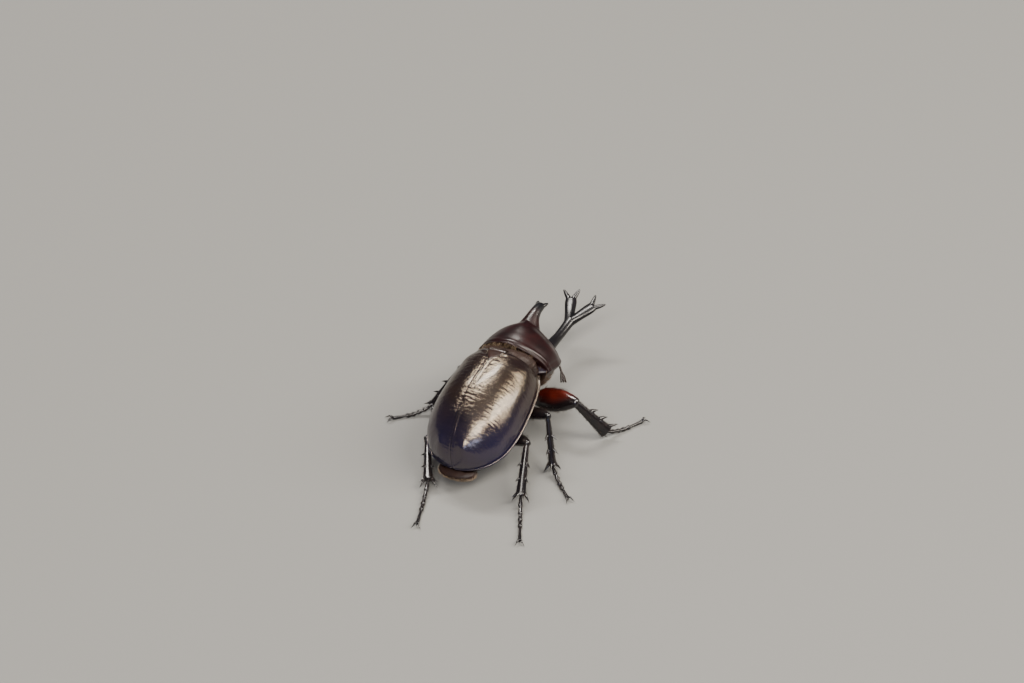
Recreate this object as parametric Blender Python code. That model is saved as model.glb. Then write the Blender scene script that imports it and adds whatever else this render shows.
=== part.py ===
"""Male Japanese rhinoceros beetle, life size, standing on its six feet.

Sizes are in millimetres and become metres where a mesh is made. Three frames are used. The
body frame has its origin at the neck, on the plane of the wing-case margins, with +Y towards
the head. The prothorax frame turns about a pivot under the neck. The floor frame is upright,
with the floor at z = 0 below the neck, and the legs are built in it.
"""

import math

import bmesh
import bpy
from mathutils import Euler, Matrix, Vector

MM = 0.001
GAP = 0.3
# How far a cutter made from a neighbour stands off it, a little more than the gap at its corners
CUT_CLEARANCE = 0.34
# Edges sharper than this many degrees stay sharp when a piece is shaded smooth
SMOOTH_ANGLE = 40.0

# Where the standing beetle's own box has its bottom centre, seen from the neck
BOX_CENTRE_X = 2.122
BOX_CENTRE_Y = -2.611

# Stance
NECK_HEIGHT = 18.0
BODY_PITCH = 19.0
BODY_LEAN = -9.0
PROTHORAX_PIVOT = (0.0, 1.0, -1.0)
PROTHORAX_FLEX = -33.0
PROTHORAX_LEAN = 5.0
PROTHORAX_TURN = 3.0
# The head is turned and tilted a little to the right about its neck
HEAD_PIVOT = (0.0, 12.5, -2.5)
HEAD_TURN = (0.0, 5.5, -0.5)

# Wing cases
ELYTRA_LENGTH = 33.0
ELYTRA_HALF_WIDTH = 13.3
ELYTRA_HEIGHT = 11.8
ELYTRA_WALL = 1.0
ELYTRA_ROUNDNESS = 2.3
SUTURE_HALF_GAP = 0.15
ELYTRA_OUTLINE = (
    (0.0, 0.74), (0.06, 0.83), (0.15, 0.90), (0.3, 0.962), (0.55, 1.0),
    (0.75, 0.925), (0.88, 0.735), (0.95, 0.5), (0.985, 0.27), (1.0, 0.05),
)
ELYTRA_PROFILE = (
    (0.0, 0.79), (0.15, 0.92), (0.4, 1.0), (0.65, 0.935), (0.8, 0.77),
    (0.9, 0.54), (0.96, 0.32), (1.0, 0.07),
)
ELYTRA_STATIONS = (0.0, 0.03, 0.07, 0.12, 0.2, 0.3, 0.42, 0.54, 0.65, 0.74, 0.82, 0.89, 0.94, 0.975, 1.0)
OUTER_COLUMNS = (0.0, 0.2, 0.4, 0.58, 0.73, 0.85, 0.94, 0.99, 1.0)
INNER_COLUMNS = (1.0, 0.9, 0.7, 0.45, 0.22, 0.0)
MARGIN_BEAD = 0.35
APICAL_CALLUS = (3.6, -30.0, 1.7, 0.9)
SHOULDER_CALLUS = (9.0, -3.6, 2.2, 0.6)
SCUTELLUM_LENGTH = 4.3
SCUTELLUM_HALF_WIDTH = 2.6
SCUTELLUM_THICKNESS = 0.8
SCUTELLUM_STATIONS = (0.9, 0.4, 0.0, -1.1, -2.2, -3.2, -3.9)
# How steeply the scutellum's collar dives under the pronotum
COLLAR_SLOPE = 0.9

# Trunk under the wing cases
TRUNK_UPPER_COLUMNS = (-1.0, -0.93, -0.75, -0.45, 0.0, 0.45, 0.75, 0.93)
TRUNK_LOWER_COLUMNS = (1.0, 0.95, 0.8, 0.55, 0.28, 0.0, -0.28, -0.55, -0.8, -0.95)
BELLY_DEPTH = (
    (0.0, 7.6), (4.0, 8.6), (9.0, 8.8), (15.0, 7.8), (20.0, 6.9), (25.0, 6.2), (29.5, 5.0), (33.0, 3.4),
)
BELLY_ROUNDNESS = 1.7
METATHORAX_SPAN = (1.1, 15.2)
ABDOMEN_SPAN = (15.5, 32.2)
STERNITES = 5
STERNITE_STEP = 0.25
# Station, half width, top and bottom of the last plate and of the neck
PYGIDIUM_STATIONS = (
    (-29.8, 5.2, -1.0, -2.6), (-30.6, 5.6, -0.8, -3.4), (-31.8, 5.9, -0.6, -3.9), (-33.0, 5.5, -0.6, -3.7),
    (-33.9, 4.4, -0.7, -3.2), (-34.5, 2.9, -0.9, -2.6), (-34.8, 1.3, -1.3, -2.1),
)
NECK_STATIONS = (
    (-0.8, 8.0, 7.0, -6.8), (0.0, 8.3, 7.4, -7.2), (1.5, 8.9, 7.3, -7.4), (3.5, 8.6, 6.4, -7.4),
    (5.5, 8.2, 5.6, -7.2), (7.5, 7.6, 4.8, -6.8),
)

# Prothorax
PRONOTUM_LENGTH = 15.6
PRONOTUM_HALF_WIDTH = 10.8
PRONOTUM_OUTLINE = ((0.0, 0.99), (0.15, 1.0), (0.38, 1.0), (0.62, 0.92), (0.85, 0.68), (1.0, 0.44))
PRONOTUM_PROFILE = ((0.0, 8.4), (0.06, 8.8), (0.25, 10.1), (0.5, 11.2), (0.64, 11.2), (0.8, 8.4), (1.0, 4.4))
PRONOTUM_ROUNDNESS = ((0.0, 1.6), (0.2, 1.75), (0.45, 1.6), (0.65, 1.35), (0.85, 1.5), (1.0, 1.8))
PRONOTUM_MARGIN = ((0.0, 1.6), (0.5, 1.0), (1.0, 0.2))
PRONOTUM_EDGE = 0.9
PRONOTUM_COLUMNS = (0.0, 0.22, 0.44, 0.63, 0.79, 0.91, 0.98, 1.0)
HIND_BEAD_STATION = 0.035
PRONOTUM_STATIONS = (0.0, HIND_BEAD_STATION, 0.07, 0.16, 0.28, 0.4, 0.52, 0.63, 0.73, 0.83, 0.92, 1.0)
HIND_BEAD = 0.35
# The hind edge bows backwards in the middle and the front edge is hollow
HIND_EDGE = (-2.6, 3.6)
FRONT_EDGE = (-1.1, 1.1)
PROSTERNUM_STATIONS = (2.0, 3.5, 5.5, 7.5, 9.5, 11.5, 13.0, 14.2)
PROSTERNUM_DEPTH = ((2.0, 6.4), (4.0, 8.4), (6.0, 9.0), (9.0, 7.6), (12.0, 6.2), (14.2, 5.0))
PROSTERNUM_ROUNDNESS = 1.6
PROSTERNUM_INSET = 0.9
# The breast's hind face slants forwards over this length to clear the next segment
PROSTERNUM_SLANT_LENGTH = 6.0
PROSTERNUM_SLANT = 0.32
PROSTERNUM_SET_BACK = 0.6

# Horns
THORN_PATH = ((0.0, 9.4, 8.4), (0.0, 11.2, 10.6), (0.0, 13.0, 12.0), (0.0, 14.9, 12.7), (0.0, 15.8, 12.9))
THORN_SIZES = ((3.4, 3.0), (2.1, 2.0), (1.6, 1.45), (1.45, 1.2), (1.4, 1.0))
THORN_PRONG = 2.0
THORN_PRONG_SIZES = ((0.8, 0.7), (0.7, 0.6), (0.55, 0.45), (0.32, 0.28))
THORN_SPREAD = 24.0
THORN_SPLIT = 11.2
HORN_ROOT = (0.0, 16.6, -2.1)
HORN_STEM = 17.5
HORN_START_PITCH = 2.0
HORN_BEND = 26.0
HORN_COLLAR = 2.2
HORN_SIZES = (
    (0.0, 2.5, 2.2), (0.15, 2.0, 1.9), (0.35, 1.65, 1.6), (0.6, 1.35, 1.4), (0.85, 1.4, 1.3), (1.0, 1.7, 1.25),
)
ARM_LENGTH = 7.6
ARM_SPREAD = 24.0
ARM_LIFT = 0.25
ARM_SIZES = ((0.0, 1.3, 1.1), (0.35, 1.25, 0.85), (0.8, 1.5, 0.75), (1.0, 1.5, 0.7))
PRONG_LENGTH = 4.4
PRONG_SPREAD = 30.0
PRONG_LIFT = 0.6
PRONG_SIZES = ((0.85, 0.65), (0.75, 0.6), (0.55, 0.45), (0.32, 0.28))

# Head: station, half width, top and bottom
HEAD_STATIONS = (
    (11.8, 2.4, 0.2, -4.4), (13.6, 3.3, 0.7, -5.2), (15.2, 3.7, 0.9, -5.5), (16.8, 3.6, 0.7, -5.3),
    (18.2, 3.1, -0.2, -4.9), (19.6, 2.7, -1.3, -4.5), (20.6, 2.4, -2.1, -4.1),
)
EYE_RADIUS = 1.35
EYE_PLACE = (3.35, 15.4, -1.9)
MOUTH_PATH = ((0.0, 15.6, -5.2), (0.0, 17.2, -5.4), (0.0, 18.8, -5.1), (0.0, 20.3, -4.5))
MOUTH_SIZES = ((1.6, 1.0), (1.9, 1.1), (1.7, 0.9), (1.2, 0.6))

# Antennae and palps
ANTENNA_PATH = ((3.7, 17.2, -2.9), (5.6, 17.3, -3.0), (6.5, 16.7, -3.4), (7.4, 15.9, -3.9), (8.1, 15.2, -4.4))
ANTENNA_RADII = (0.42, 0.36, 0.3, 0.3, 0.34)
CLUB_LENGTH = 2.9
CLUB_LEAVES = 3
LEAF_LEAN = 0.16
LEAF_OFFSET = 0.2
LEAF_SIZES = ((0.3, 0.3), (0.7, 0.32), (0.5, 0.3))
PALP_PATH = ((1.7, 18.0, -5.3), (2.5, 19.3, -6.2), (2.7, 20.7, -6.6), (2.4, 21.7, -6.9))
PALP_RADII = (0.36, 0.34, 0.34, 0.3)

# Legs: segment lengths, thicknesses and the joint angles of each leg
FEMUR_LENGTH = {"front": 14.5, "middle": 12.5, "hind": 14.0}
TIBIA_LENGTH = {"front": 13.5, "middle": 13.8, "hind": 14.0}
TARSUS_LENGTH = {"front": 11.5, "middle": 10.6, "hind": 14.0}
FEMUR_HALF_WIDTH = {"front": 3.2, "middle": 1.9, "hind": 2.1}
TIBIA_HALF_WIDTH = {"front": 1.75, "middle": 0.95, "hind": 1.2}
# Thickness of each leg's segments against the stations below
FEMUR_STOUTNESS = {"front": 1.2, "middle": 1.0, "hind": 1.0}
TIBIA_STOUTNESS = {"front": 1.15, "middle": 0.9, "hind": 1.0}
# Share of the length, share of the half width, half thickness and rise of each section
FEMUR_STATIONS = (
    (-0.03, 0.55, 0.9, -0.1), (0.08, 0.72, 1.15, -0.1), (0.25, 0.95, 1.35, 0.0), (0.5, 1.0, 1.4, 0.1),
    (0.75, 0.85, 1.3, 0.1), (0.92, 0.62, 1.15, 0.0), (1.03, 0.42, 0.9, -0.1),
)
TIBIA_STATIONS = (
    (0.0, 0.56, 0.75, 0.0), (0.1, 0.6, 0.8, 0.1), (0.3, 0.72, 0.85, 0.15), (0.55, 0.85, 0.9, 0.15),
    (0.8, 1.0, 0.95, 0.05), (1.0, 1.15, 1.0, 0.0),
)
# Place and length of the front shin's teeth, and of the thorns and spurs of the other shins
DIGGING_TEETH = ((0.45, 1.5), (0.7, 1.9), (0.96, 2.4))
TOOTH_RADIUS = 0.75
FRONT_SPUR = 1.7
HIND_SPUR = 2.6
THORN_PAIRS = (0.38, 0.66)
THORN_LENGTH = 1.9
THORN_RADIUS = 0.44
CROWN_PLACE = 0.95
CROWN_TURNS = (10, 63, 117, 170)
FOOT_HEIGHT = 0.42
FOOT_STEPS = 10
# Share of the foot's length over which it comes down to the floor
FOOT_FALL = 0.62
FOOT_RADIUS = 0.42
CLAW_LENGTH = 2.2
CLAW_SIZES = ((0.32, 0.34), (0.3, 0.32), (0.25, 0.27), (0.16, 0.18))
# How far the broad faces of thigh and shin tip backwards
FEMUR_ROLL = {"front": 52, "middle": 15, "hind": 15}
TIBIA_ROLL = {"front": 65, "middle": 0, "hind": 0}
# Heading outwards from straight ahead and elevation of femur and tibia, then the foot's heading
LEG_ANGLES = {
    ("front", "right"): (102, 22.5, 64, -50, 30),
    ("front", "left"): (45, 5, 2, -21.8, -8),
    ("middle", "right"): (117, 29, 141, -62, 132),
    ("middle", "left"): (74, 29, 136, -51, 132),
    ("hind", "right"): (124, 30, 163, -47, 154),
    ("hind", "left"): (134, 2, 209, -11, 197),
}
SIDES = {"right": 1, "left": -1}
COXA_PLACE = {"front": (3.9, 5.6, -8.6), "middle": (4.1, -6.3, -7.9), "hind": (5.0, -14.2, -7.1)}
COXA_RADII = {"front": (2.6, 1.8, 2.4), "middle": (3.0, 1.7, 1.9), "hind": (4.4, 1.7, 1.8)}
HIP_PLACE = {"front": (5.0, 6.0, -9.6), "middle": (5.2, -6.5, -8.6), "hind": (4.2, -15.5, -8.0)}

# Colour, roughness and metallic value of each finish
FINISHES = {
    "bronze_shell": ((0.060, 0.040, 0.024), 0.26, 0.35),
    "maroon_shell": ((0.050, 0.014, 0.012), 0.28, 0.1),
    "black_shell": ((0.010, 0.009, 0.010), 0.22, 0.0),
    "red_brown_shell": ((0.150, 0.020, 0.008), 0.25, 0.0),
    "dark_brown_shell": ((0.030, 0.014, 0.008), 0.35, 0.0),
    "hairy_brown": ((0.160, 0.080, 0.030), 0.75, 0.0),
    "eye_black": ((0.006, 0.005, 0.005), 0.12, 0.0),
}


def finish(name):
    """The Principled material of one kind of surface, made once."""
    found = bpy.data.materials.get(name)
    if found:
        return found
    colour, roughness, metallic = FINISHES[name]
    made = bpy.data.materials.new(name)
    made.use_nodes = True
    shader = made.node_tree.nodes["Principled BSDF"]
    shader.inputs["Base Color"].default_value = (*colour, 1.0)
    shader.inputs["Roughness"].default_value = roughness
    shader.inputs["Metallic"].default_value = metallic
    made.diffuse_color = (*colour, 1.0)
    return made


def collection(name):
    """A collection linked to the scene, made once."""
    found = bpy.data.collections.get(name)
    if found:
        return found
    made = bpy.data.collections.new(name)
    bpy.context.scene.collection.children.link(made)
    return made


def value_at(table, x):
    """Smooth curve through a table of (place, value) pairs that never overshoots them."""
    if x <= table[0][0]:
        return table[0][1]
    if x >= table[-1][0]:
        return table[-1][1]
    slopes = [(b[1] - a[1]) / (b[0] - a[0]) for a, b in zip(table, table[1:])]
    i = max(k for k in range(len(slopes)) if table[k][0] <= x)

    def tangent(k):
        if k == 0:
            return slopes[0]
        if k == len(slopes):
            return slopes[-1]
        before, after = slopes[k - 1], slopes[k]
        return 0.0 if before * after <= 0.0 else 2.0 * before * after / (before + after)

    span = table[i + 1][0] - table[i][0]
    t = (x - table[i][0]) / span
    rise = (1.0 + 2.0 * t) * (1.0 - t) ** 2 * table[i][1] + t * t * (3.0 - 2.0 * t) * table[i + 1][1]
    lean = t * (1.0 - t) ** 2 * tangent(i) - t * t * (1.0 - t) * tangent(i + 1)
    return rise + span * lean


def superellipse(u, power):
    """Height from 1 at the middle to 0 at the edge of a rounded section."""
    return max(0.0, 1.0 - abs(u) ** power) ** (1.0 / power)


def mesh_object(name, bm, material, parent):
    """Closes a bmesh into a smooth-shaded object under its parent empty."""
    bmesh.ops.recalc_face_normals(bm, faces=bm.faces)
    bmesh.ops.triangulate(bm, faces=bm.faces)
    mesh = bpy.data.meshes.new(name)
    bm.to_mesh(mesh)
    bm.free()
    mesh.shade_smooth()
    mesh.set_sharp_from_angle(angle=math.radians(SMOOTH_ANGLE))
    mesh.materials.append(finish(material))
    made = bpy.data.objects.new(name, mesh)
    collection("rhinoceros_beetle").objects.link(made)
    made.parent = parent
    return made


def loft(name, rings, material, parent, start=None, end=None):
    """Skin over closed rings of equal count, each end flat or drawn to a point."""
    bm = bmesh.new()
    loops = [[bm.verts.new(Vector(point) * MM) for point in ring] for ring in rings]
    for near, far in zip(loops, loops[1:]):
        for i in range(len(near)):
            j = (i + 1) % len(near)
            bm.faces.new((near[i], near[j], far[j], far[i]))
    for loop, tip in ((loops[0], start), (loops[-1], end)):
        if tip is None:
            bm.faces.new(loop)
            continue
        pole = bm.verts.new(Vector(tip) * MM)
        for i in range(len(loop)):
            bm.faces.new((loop[i], loop[(i + 1) % len(loop)], pole))
    return mesh_object(name, bm, material, parent)


def sweep(name, path, sizes, material, parent, sides=8, blunt=0.5, across=(1.0, 0.0, 0.0)):
    """Elliptical tube along a path, with a (half width, half thickness) at each point."""
    points = [Vector(point) for point in path]
    rings = []
    tangents = []
    for i, point in enumerate(points):
        ahead = points[min(i + 1, len(points) - 1)]
        behind = points[max(i - 1, 0)]
        tangent = (ahead - behind).normalized()
        width_axis = (Vector(across) - tangent * tangent.dot(Vector(across))).normalized()
        thickness_axis = width_axis.cross(tangent)
        half_width, half_thickness = sizes[i]
        ring = []
        for k in range(sides):
            turn = 2.0 * math.pi * k / sides
            ring.append(
                point
                + width_axis * half_width * math.cos(turn)
                + thickness_axis * half_thickness * math.sin(turn)
            )
        rings.append(ring)
        tangents.append(tangent)
    start = points[0] - tangents[0] * sizes[0][1] * blunt
    end = points[-1] + tangents[-1] * sizes[-1][1] * blunt
    return loft(name, rings, material, parent, start, end)


def ellipsoid(name, place, radii, material, parent, segments=14, rings=8):
    """A stretched sphere, as for a coxa or an eye."""
    bm = bmesh.new()
    bmesh.ops.create_uvsphere(bm, u_segments=segments, v_segments=rings, radius=1.0)
    bmesh.ops.scale(bm, vec=Vector(radii) * MM, verts=bm.verts)
    made = mesh_object(name, bm, material, parent)
    made.location = Vector(place) * MM
    return made


def keep_largest(mesh):
    """Drops loose scraps, so that a node stays one closed body."""
    bm = bmesh.new()
    bm.from_mesh(mesh)
    bmesh.ops.dissolve_degenerate(bm, edges=bm.edges, dist=0.000001)
    unseen = set(bm.faces)
    bodies = []
    while unseen:
        stack = [unseen.pop()]
        body = []
        while stack:
            face = stack.pop()
            body.append(face)
            for edge in face.edges:
                for other in edge.link_faces:
                    if other in unseen:
                        unseen.remove(other)
                        stack.append(other)
        bodies.append(body)
    bodies.sort(key=lambda body: sum(face.calc_area() for face in body))
    scraps = [face for body in bodies[:-1] for face in body]
    bmesh.ops.delete(bm, geom=scraps, context="FACES")
    bmesh.ops.dissolve_limit(bm, angle_limit=math.radians(1.0), verts=bm.verts, edges=bm.edges)
    bmesh.ops.triangulate(bm, faces=bm.faces)
    bm.to_mesh(mesh)
    bm.free()


def surface_volume(mesh):
    """Volume inside a mesh, or nothing where it isn't closed."""
    bm = bmesh.new()
    bm.from_mesh(mesh)
    closed = all(edge.is_manifold for edge in bm.edges)
    volume = bm.calc_volume() if closed and bm.faces else 0.0
    bm.free()
    return volume


def evaluated_mesh(made):
    """A plain copy of the object's mesh as its modifiers leave it, without scraps."""
    bpy.context.view_layer.update()
    evaluated = made.evaluated_get(bpy.context.evaluated_depsgraph_get())
    mesh = bpy.data.meshes.new_from_object(evaluated)
    keep_largest(mesh)
    return mesh


def combine(made, operation, operand, least_share):
    """One Boolean, applied: EXACT, or MANIFOLD where EXACT tears the surface or loses the piece."""
    before = surface_volume(made.data)
    boolean = made.modifiers.new("combine", "BOOLEAN")
    boolean.operation = operation
    if isinstance(operand, bpy.types.Collection):
        boolean.operand_type = "COLLECTION"
        boolean.collection = operand
    else:
        boolean.object = operand
    mesh = evaluated_mesh(made)
    if surface_volume(mesh) < least_share * before:
        bpy.data.meshes.remove(mesh)
        boolean.solver = "MANIFOLD"
        mesh = evaluated_mesh(made)
    made.modifiers.clear()
    old = made.data
    made.data = mesh
    mesh.name = made.name
    bpy.data.meshes.remove(old)
    mesh.shade_smooth()
    mesh.set_sharp_from_angle(angle=math.radians(SMOOTH_ANGLE))


def fuse(made, pieces):
    """Joins closed pieces to an object in one Boolean union."""
    group = collection("joined_pieces")
    for piece in pieces:
        for owner in list(piece.users_collection):
            owner.objects.unlink(piece)
        group.objects.link(piece)
        piece.hide_render = True
        piece.display_type = "WIRE"
    combine(made, "UNION", group, 0.99)
    for piece in pieces:
        bpy.data.objects.remove(piece)


def cut(made, cutter, least_share=0.02):
    """Takes a closed cutter out of an object and removes the cutter."""
    cutter.hide_render = True
    cutter.display_type = "WIRE"
    combine(made, "DIFFERENCE", cutter, least_share)
    bpy.data.objects.remove(cutter)


def clear_of(made, *neighbours):
    """Cuts an object back to a face that follows each neighbour at the gap's distance."""
    for neighbour in neighbours:
        cutter = neighbour.copy()
        cutter.data = neighbour.data.copy()
        collection("cutters").objects.link(cutter)
        bm = bmesh.new()
        bm.from_mesh(cutter.data)
        bm.normal_update()
        for vertex in bm.verts:
            vertex.co += vertex.normal * CUT_CLEARANCE * MM
        bm.to_mesh(cutter.data)
        bm.free()
        cut(made, cutter, 0.2)


def spine(name, root, direction, length, radius, parent, sides=4):
    """A tapering thorn whose root lies inside the piece that carries it."""
    bm = bmesh.new()
    bmesh.ops.create_cone(
        bm, cap_ends=True, segments=sides, radius1=radius * MM, radius2=0.12 * radius * MM, depth=length * MM
    )
    bmesh.ops.translate(bm, vec=(0.0, 0.0, 0.5 * length * MM), verts=bm.verts)
    made = mesh_object(name, bm, "black_shell", parent)
    made.rotation_mode = "QUATERNION"
    made.rotation_quaternion = Vector(direction).to_track_quat("Z", "Y")
    made.location = Vector(root) * MM
    return made


def oval_ring(y, half_width, top, bottom, count, middle, squareness):
    """A rounded section across the body, with its widest line at the middle height."""
    ring = []
    for k in range(count):
        turn = 2.0 * math.pi * k / count
        c, s = math.cos(turn), math.sin(turn)
        reach = top - middle if s > 0.0 else middle - bottom
        x = half_width * math.copysign(abs(c) ** squareness, c)
        ring.append((x, y, middle + reach * math.copysign(abs(s) ** 0.8, s)))
    return ring


def empty(name, place, turn, parent):
    """A frame that carries pieces: leans about Y, then X, then Z, in degrees."""
    made = bpy.data.objects.new(name, None)
    collection("rhinoceros_beetle").objects.link(made)
    made.rotation_mode = "YXZ"
    made.rotation_euler = Euler([math.radians(a) for a in turn], "YXZ")
    made.location = Vector(place) * MM
    made.parent = parent
    return made


def hinge(name, pivot, turn, parent):
    """A frame turned about a pivot that keeps its parent's coordinates otherwise."""
    made = empty(name, (0.0, 0.0, 0.0), turn, parent)
    centre = Vector(pivot) * MM
    made.location = centre - made.rotation_euler.to_matrix() @ centre
    return made


def frame_matrix(place, turn):
    """The same turn and place as an empty's, in millimetres, for points worked out by hand."""
    turned = Euler([math.radians(a) for a in turn], "YXZ").to_matrix().to_4x4()
    return Matrix.Translation(Vector(place)) @ turned


def elytra_half_width(t):
    return ELYTRA_HALF_WIDTH * value_at(ELYTRA_OUTLINE, t)


def elytra_top(t):
    return ELYTRA_HEIGHT * value_at(ELYTRA_PROFILE, t)


def bump(x, y, callus):
    """A low round swelling: middle, spread and height."""
    middle_x, middle_y, spread, height = callus
    return height * math.exp(-((abs(x) - middle_x) ** 2 + (y - middle_y) ** 2) / spread**2)


def elytra_height(x, t):
    """Height of the wing case's outer surface above its margin."""
    y = -ELYTRA_LENGTH * t
    u = min(1.0, abs(x) / elytra_half_width(t))
    dome = elytra_top(t) * max(0.0, 1.0 - u**ELYTRA_ROUNDNESS) ** 0.5
    swell = bump(x, y, APICAL_CALLUS) + bump(x, y, SHOULDER_CALLUS)
    return dome + swell * (1.0 - u**4)


def scutellum_half_width(y):
    """Half width of the small shield between the wing cases' roots."""
    along = min(1.0, max(0.0, -y / SCUTELLUM_LENGTH))
    return SCUTELLUM_HALF_WIDTH * (1.0 - along**1.4)


def elytron(side, parent):
    """One wing case: a curved shell with a beaded margin, from the shoulder to its apex."""
    sign = SIDES[side]
    rings = []
    for t in ELYTRA_STATIONS:
        y = -ELYTRA_LENGTH * t
        half_width = elytra_half_width(t)
        top = elytra_top(t)
        inner_x = SUTURE_HALF_GAP
        if -y < SCUTELLUM_LENGTH:
            inner_x = scutellum_half_width(y) + GAP
        wall = min(ELYTRA_WALL, 0.5 * top, 0.35 * half_width)
        ring = []
        for u in OUTER_COLUMNS:
            x = inner_x + (half_width - inner_x) * u
            z = elytra_height(x, t)
            if u == 0.99:
                x += MARGIN_BEAD * min(1.0, top)
            ring.append((sign * x, y, max(z, 0.15)))
        ring[-1] = (sign * half_width, y, -0.25 * min(1.0, top))
        inner_width = half_width - wall
        for u in INNER_COLUMNS:
            x = inner_x + (inner_width - inner_x) * u
            z = (top - wall) * max(0.0, 1.0 - min(1.0, x / inner_width) ** ELYTRA_ROUNDNESS) ** 0.5
            ring.append((sign * x, y, z))
        rings.append(ring)
    return loft("elytron_" + side, rings, "bronze_shell", parent)


def scutellum(parent):
    """The three-cornered shield plate between the wing cases, with its collar in front."""
    rings = []
    for y in SCUTELLUM_STATIONS:
        half_width = scutellum_half_width(y)
        t = max(0.0, -y / ELYTRA_LENGTH)
        dip = COLLAR_SLOPE * max(0.0, y)
        ring = []
        for u in (-1.0, -0.5, 0.0, 0.5, 1.0):
            ring.append((u * half_width, y, elytra_height(u * half_width, t) - dip))
        for u in (0.9, 0.0, -0.9):
            ring.append((u * half_width, y, elytra_height(u * half_width, t) - dip - SCUTELLUM_THICKNESS))
        rings.append(ring)
    return loft("scutellum", rings, "dark_brown_shell", parent)


def trunk_ring(y, shrink=0.0):
    """Section of the trunk: fills the wing cases above the margin and bellies out below it."""
    t = min(1.0, max(0.0, -y / ELYTRA_LENGTH))
    wall = ELYTRA_WALL + GAP + shrink
    half_width = max(0.6, elytra_half_width(t) - wall)
    top = max(0.3, elytra_top(t) - wall)
    depth = value_at(BELLY_DEPTH, -y) - shrink
    ring = []
    for u in TRUNK_UPPER_COLUMNS:
        ring.append((u * half_width, y, top * max(0.0, 1.0 - abs(u) ** ELYTRA_ROUNDNESS) ** 0.5))
    for u in TRUNK_LOWER_COLUMNS:
        ring.append((u * half_width, y, -0.02 - depth * superellipse(u, BELLY_ROUNDNESS)))
    return ring


def metathorax(parent):
    """The thorax part that carries the wing cases and the middle and hind legs."""
    front, rear = METATHORAX_SPAN
    steps = 8
    rings = [trunk_ring(-(front + (rear - front) * k / steps)) for k in range(steps + 1)]
    return loft("metathorax", rings, "dark_brown_shell", parent)


def abdomen(parent):
    """The abdomen, whose plates step down one behind the other."""
    front, rear = ABDOMEN_SPAN
    rings = []
    for k in range(STERNITES):
        near = front + (rear - front) * k / STERNITES
        far = front + (rear - front) * (k + 1) / STERNITES
        rings.append(trunk_ring(-near, STERNITE_STEP))
        rings.append(trunk_ring(-near - 0.25 * (far - near), 0.0))
        rings.append(trunk_ring(-near - 0.9 * (far - near), 0.0))
    rings.append(trunk_ring(-rear, STERNITE_STEP))
    return loft("abdomen", rings, "dark_brown_shell", parent)


def pygidium(parent):
    """The last plate, which closes the abdomen below the wing cases' ends."""
    rings = []
    for y, half_width, top, bottom in PYGIDIUM_STATIONS:
        rings.append(oval_ring(y, half_width, top, bottom, 14, 0.5 * (top + bottom), 0.8))
    return loft("pygidium", rings, "hairy_brown", parent)


def mesothorax(parent):
    """The hairy neck that shows between the pronotum and the wing cases when the head is down."""
    rings = []
    for y, half_width, top, bottom in NECK_STATIONS:
        rings.append(oval_ring(y, half_width, top, bottom, 20, 0.0, 0.8))
    return loft("mesothorax", rings, "hairy_brown", parent)


def pronotum_place(s, u):
    """A point of the pronotum's upper surface: s runs forwards, u from margin to margin."""
    half_width = PRONOTUM_HALF_WIDTH * value_at(PRONOTUM_OUTLINE, s)
    hind_y = HIND_EDGE[0] + HIND_EDGE[1] * u * u
    front_y = PRONOTUM_LENGTH + FRONT_EDGE[0] + FRONT_EDGE[1] * u * u
    margin = value_at(PRONOTUM_MARGIN, s)
    crown = value_at(PRONOTUM_PROFILE, s) - margin
    bead = HIND_BEAD if abs(s - HIND_BEAD_STATION) < 0.001 else 0.0
    z = margin + (crown + bead) * superellipse(u, value_at(PRONOTUM_ROUNDNESS, s))
    return u * half_width, hind_y + (front_y - hind_y) * s, z


def pronotum_underside(s):
    """Height of the pronotum's flat underside, hidden inside the body."""
    return value_at(PRONOTUM_MARGIN, s) - PRONOTUM_EDGE


def pronotum(parent):
    """The shield of the prothorax, with a stub on which the short horn stands."""
    rings = []
    columns = [-u for u in reversed(PRONOTUM_COLUMNS[1:])] + list(PRONOTUM_COLUMNS)
    for s in PRONOTUM_STATIONS:
        ring = [pronotum_place(s, u) for u in columns]
        for u in (0.85, 0.4, 0.0, -0.4, -0.85):
            x, y, _ = pronotum_place(s, u)
            ring.append((x, y, pronotum_underside(s)))
        rings.append(ring)
    made = loft("pronotum", rings, "maroon_shell", parent)
    stub = thoracic_horn("thoracic_horn_stub", parent)
    split_at(stub, THORN_SPLIT, keep_ahead=False)
    fuse(made, [stub])
    return made


def box(name, low, high, parent):
    """A plain block between two corners."""
    bm = bmesh.new()
    bmesh.ops.create_cube(bm, size=1.0)
    size = Vector(high) - Vector(low)
    bmesh.ops.scale(bm, vec=size * MM, verts=bm.verts)
    bmesh.ops.translate(bm, vec=(Vector(low) + Vector(high)) * 0.5 * MM, verts=bm.verts)
    return mesh_object(name, bm, "black_shell", parent)


def split_at(made, y, keep_ahead):
    """Keeps one side of a crosswise plane in the piece's own frame."""
    reach = 60.0
    if keep_ahead:
        cutter = box("split_cutter", (-reach, y - reach, -reach), (reach, y, reach), made.parent)
    else:
        cutter = box("split_cutter", (-reach, y, -reach), (reach, y + reach, reach), made.parent)
    cut(made, cutter)


def thoracic_horn(name, parent):
    """The short horn of the pronotum, a thick stalk with two blunt prongs."""
    made = sweep(name, THORN_PATH, THORN_SIZES, "black_shell", parent, sides=8, blunt=0.2)
    prongs = []
    tip = Vector(THORN_PATH[-1])
    for sign in (-1, 1):
        turn = math.radians(THORN_SPREAD)
        ahead = Vector((sign * math.sin(turn), math.cos(turn), 0.16))
        start = tip + Vector((sign * 0.4, -1.0, 0.0))
        path = [start + ahead * THORN_PRONG * k for k in (0.0, 0.55, 1.0, 1.3)]
        prongs.append(sweep("prong", path, THORN_PRONG_SIZES, "black_shell", parent, sides=6, blunt=0.6))
    fuse(made, prongs)
    return made


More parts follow.
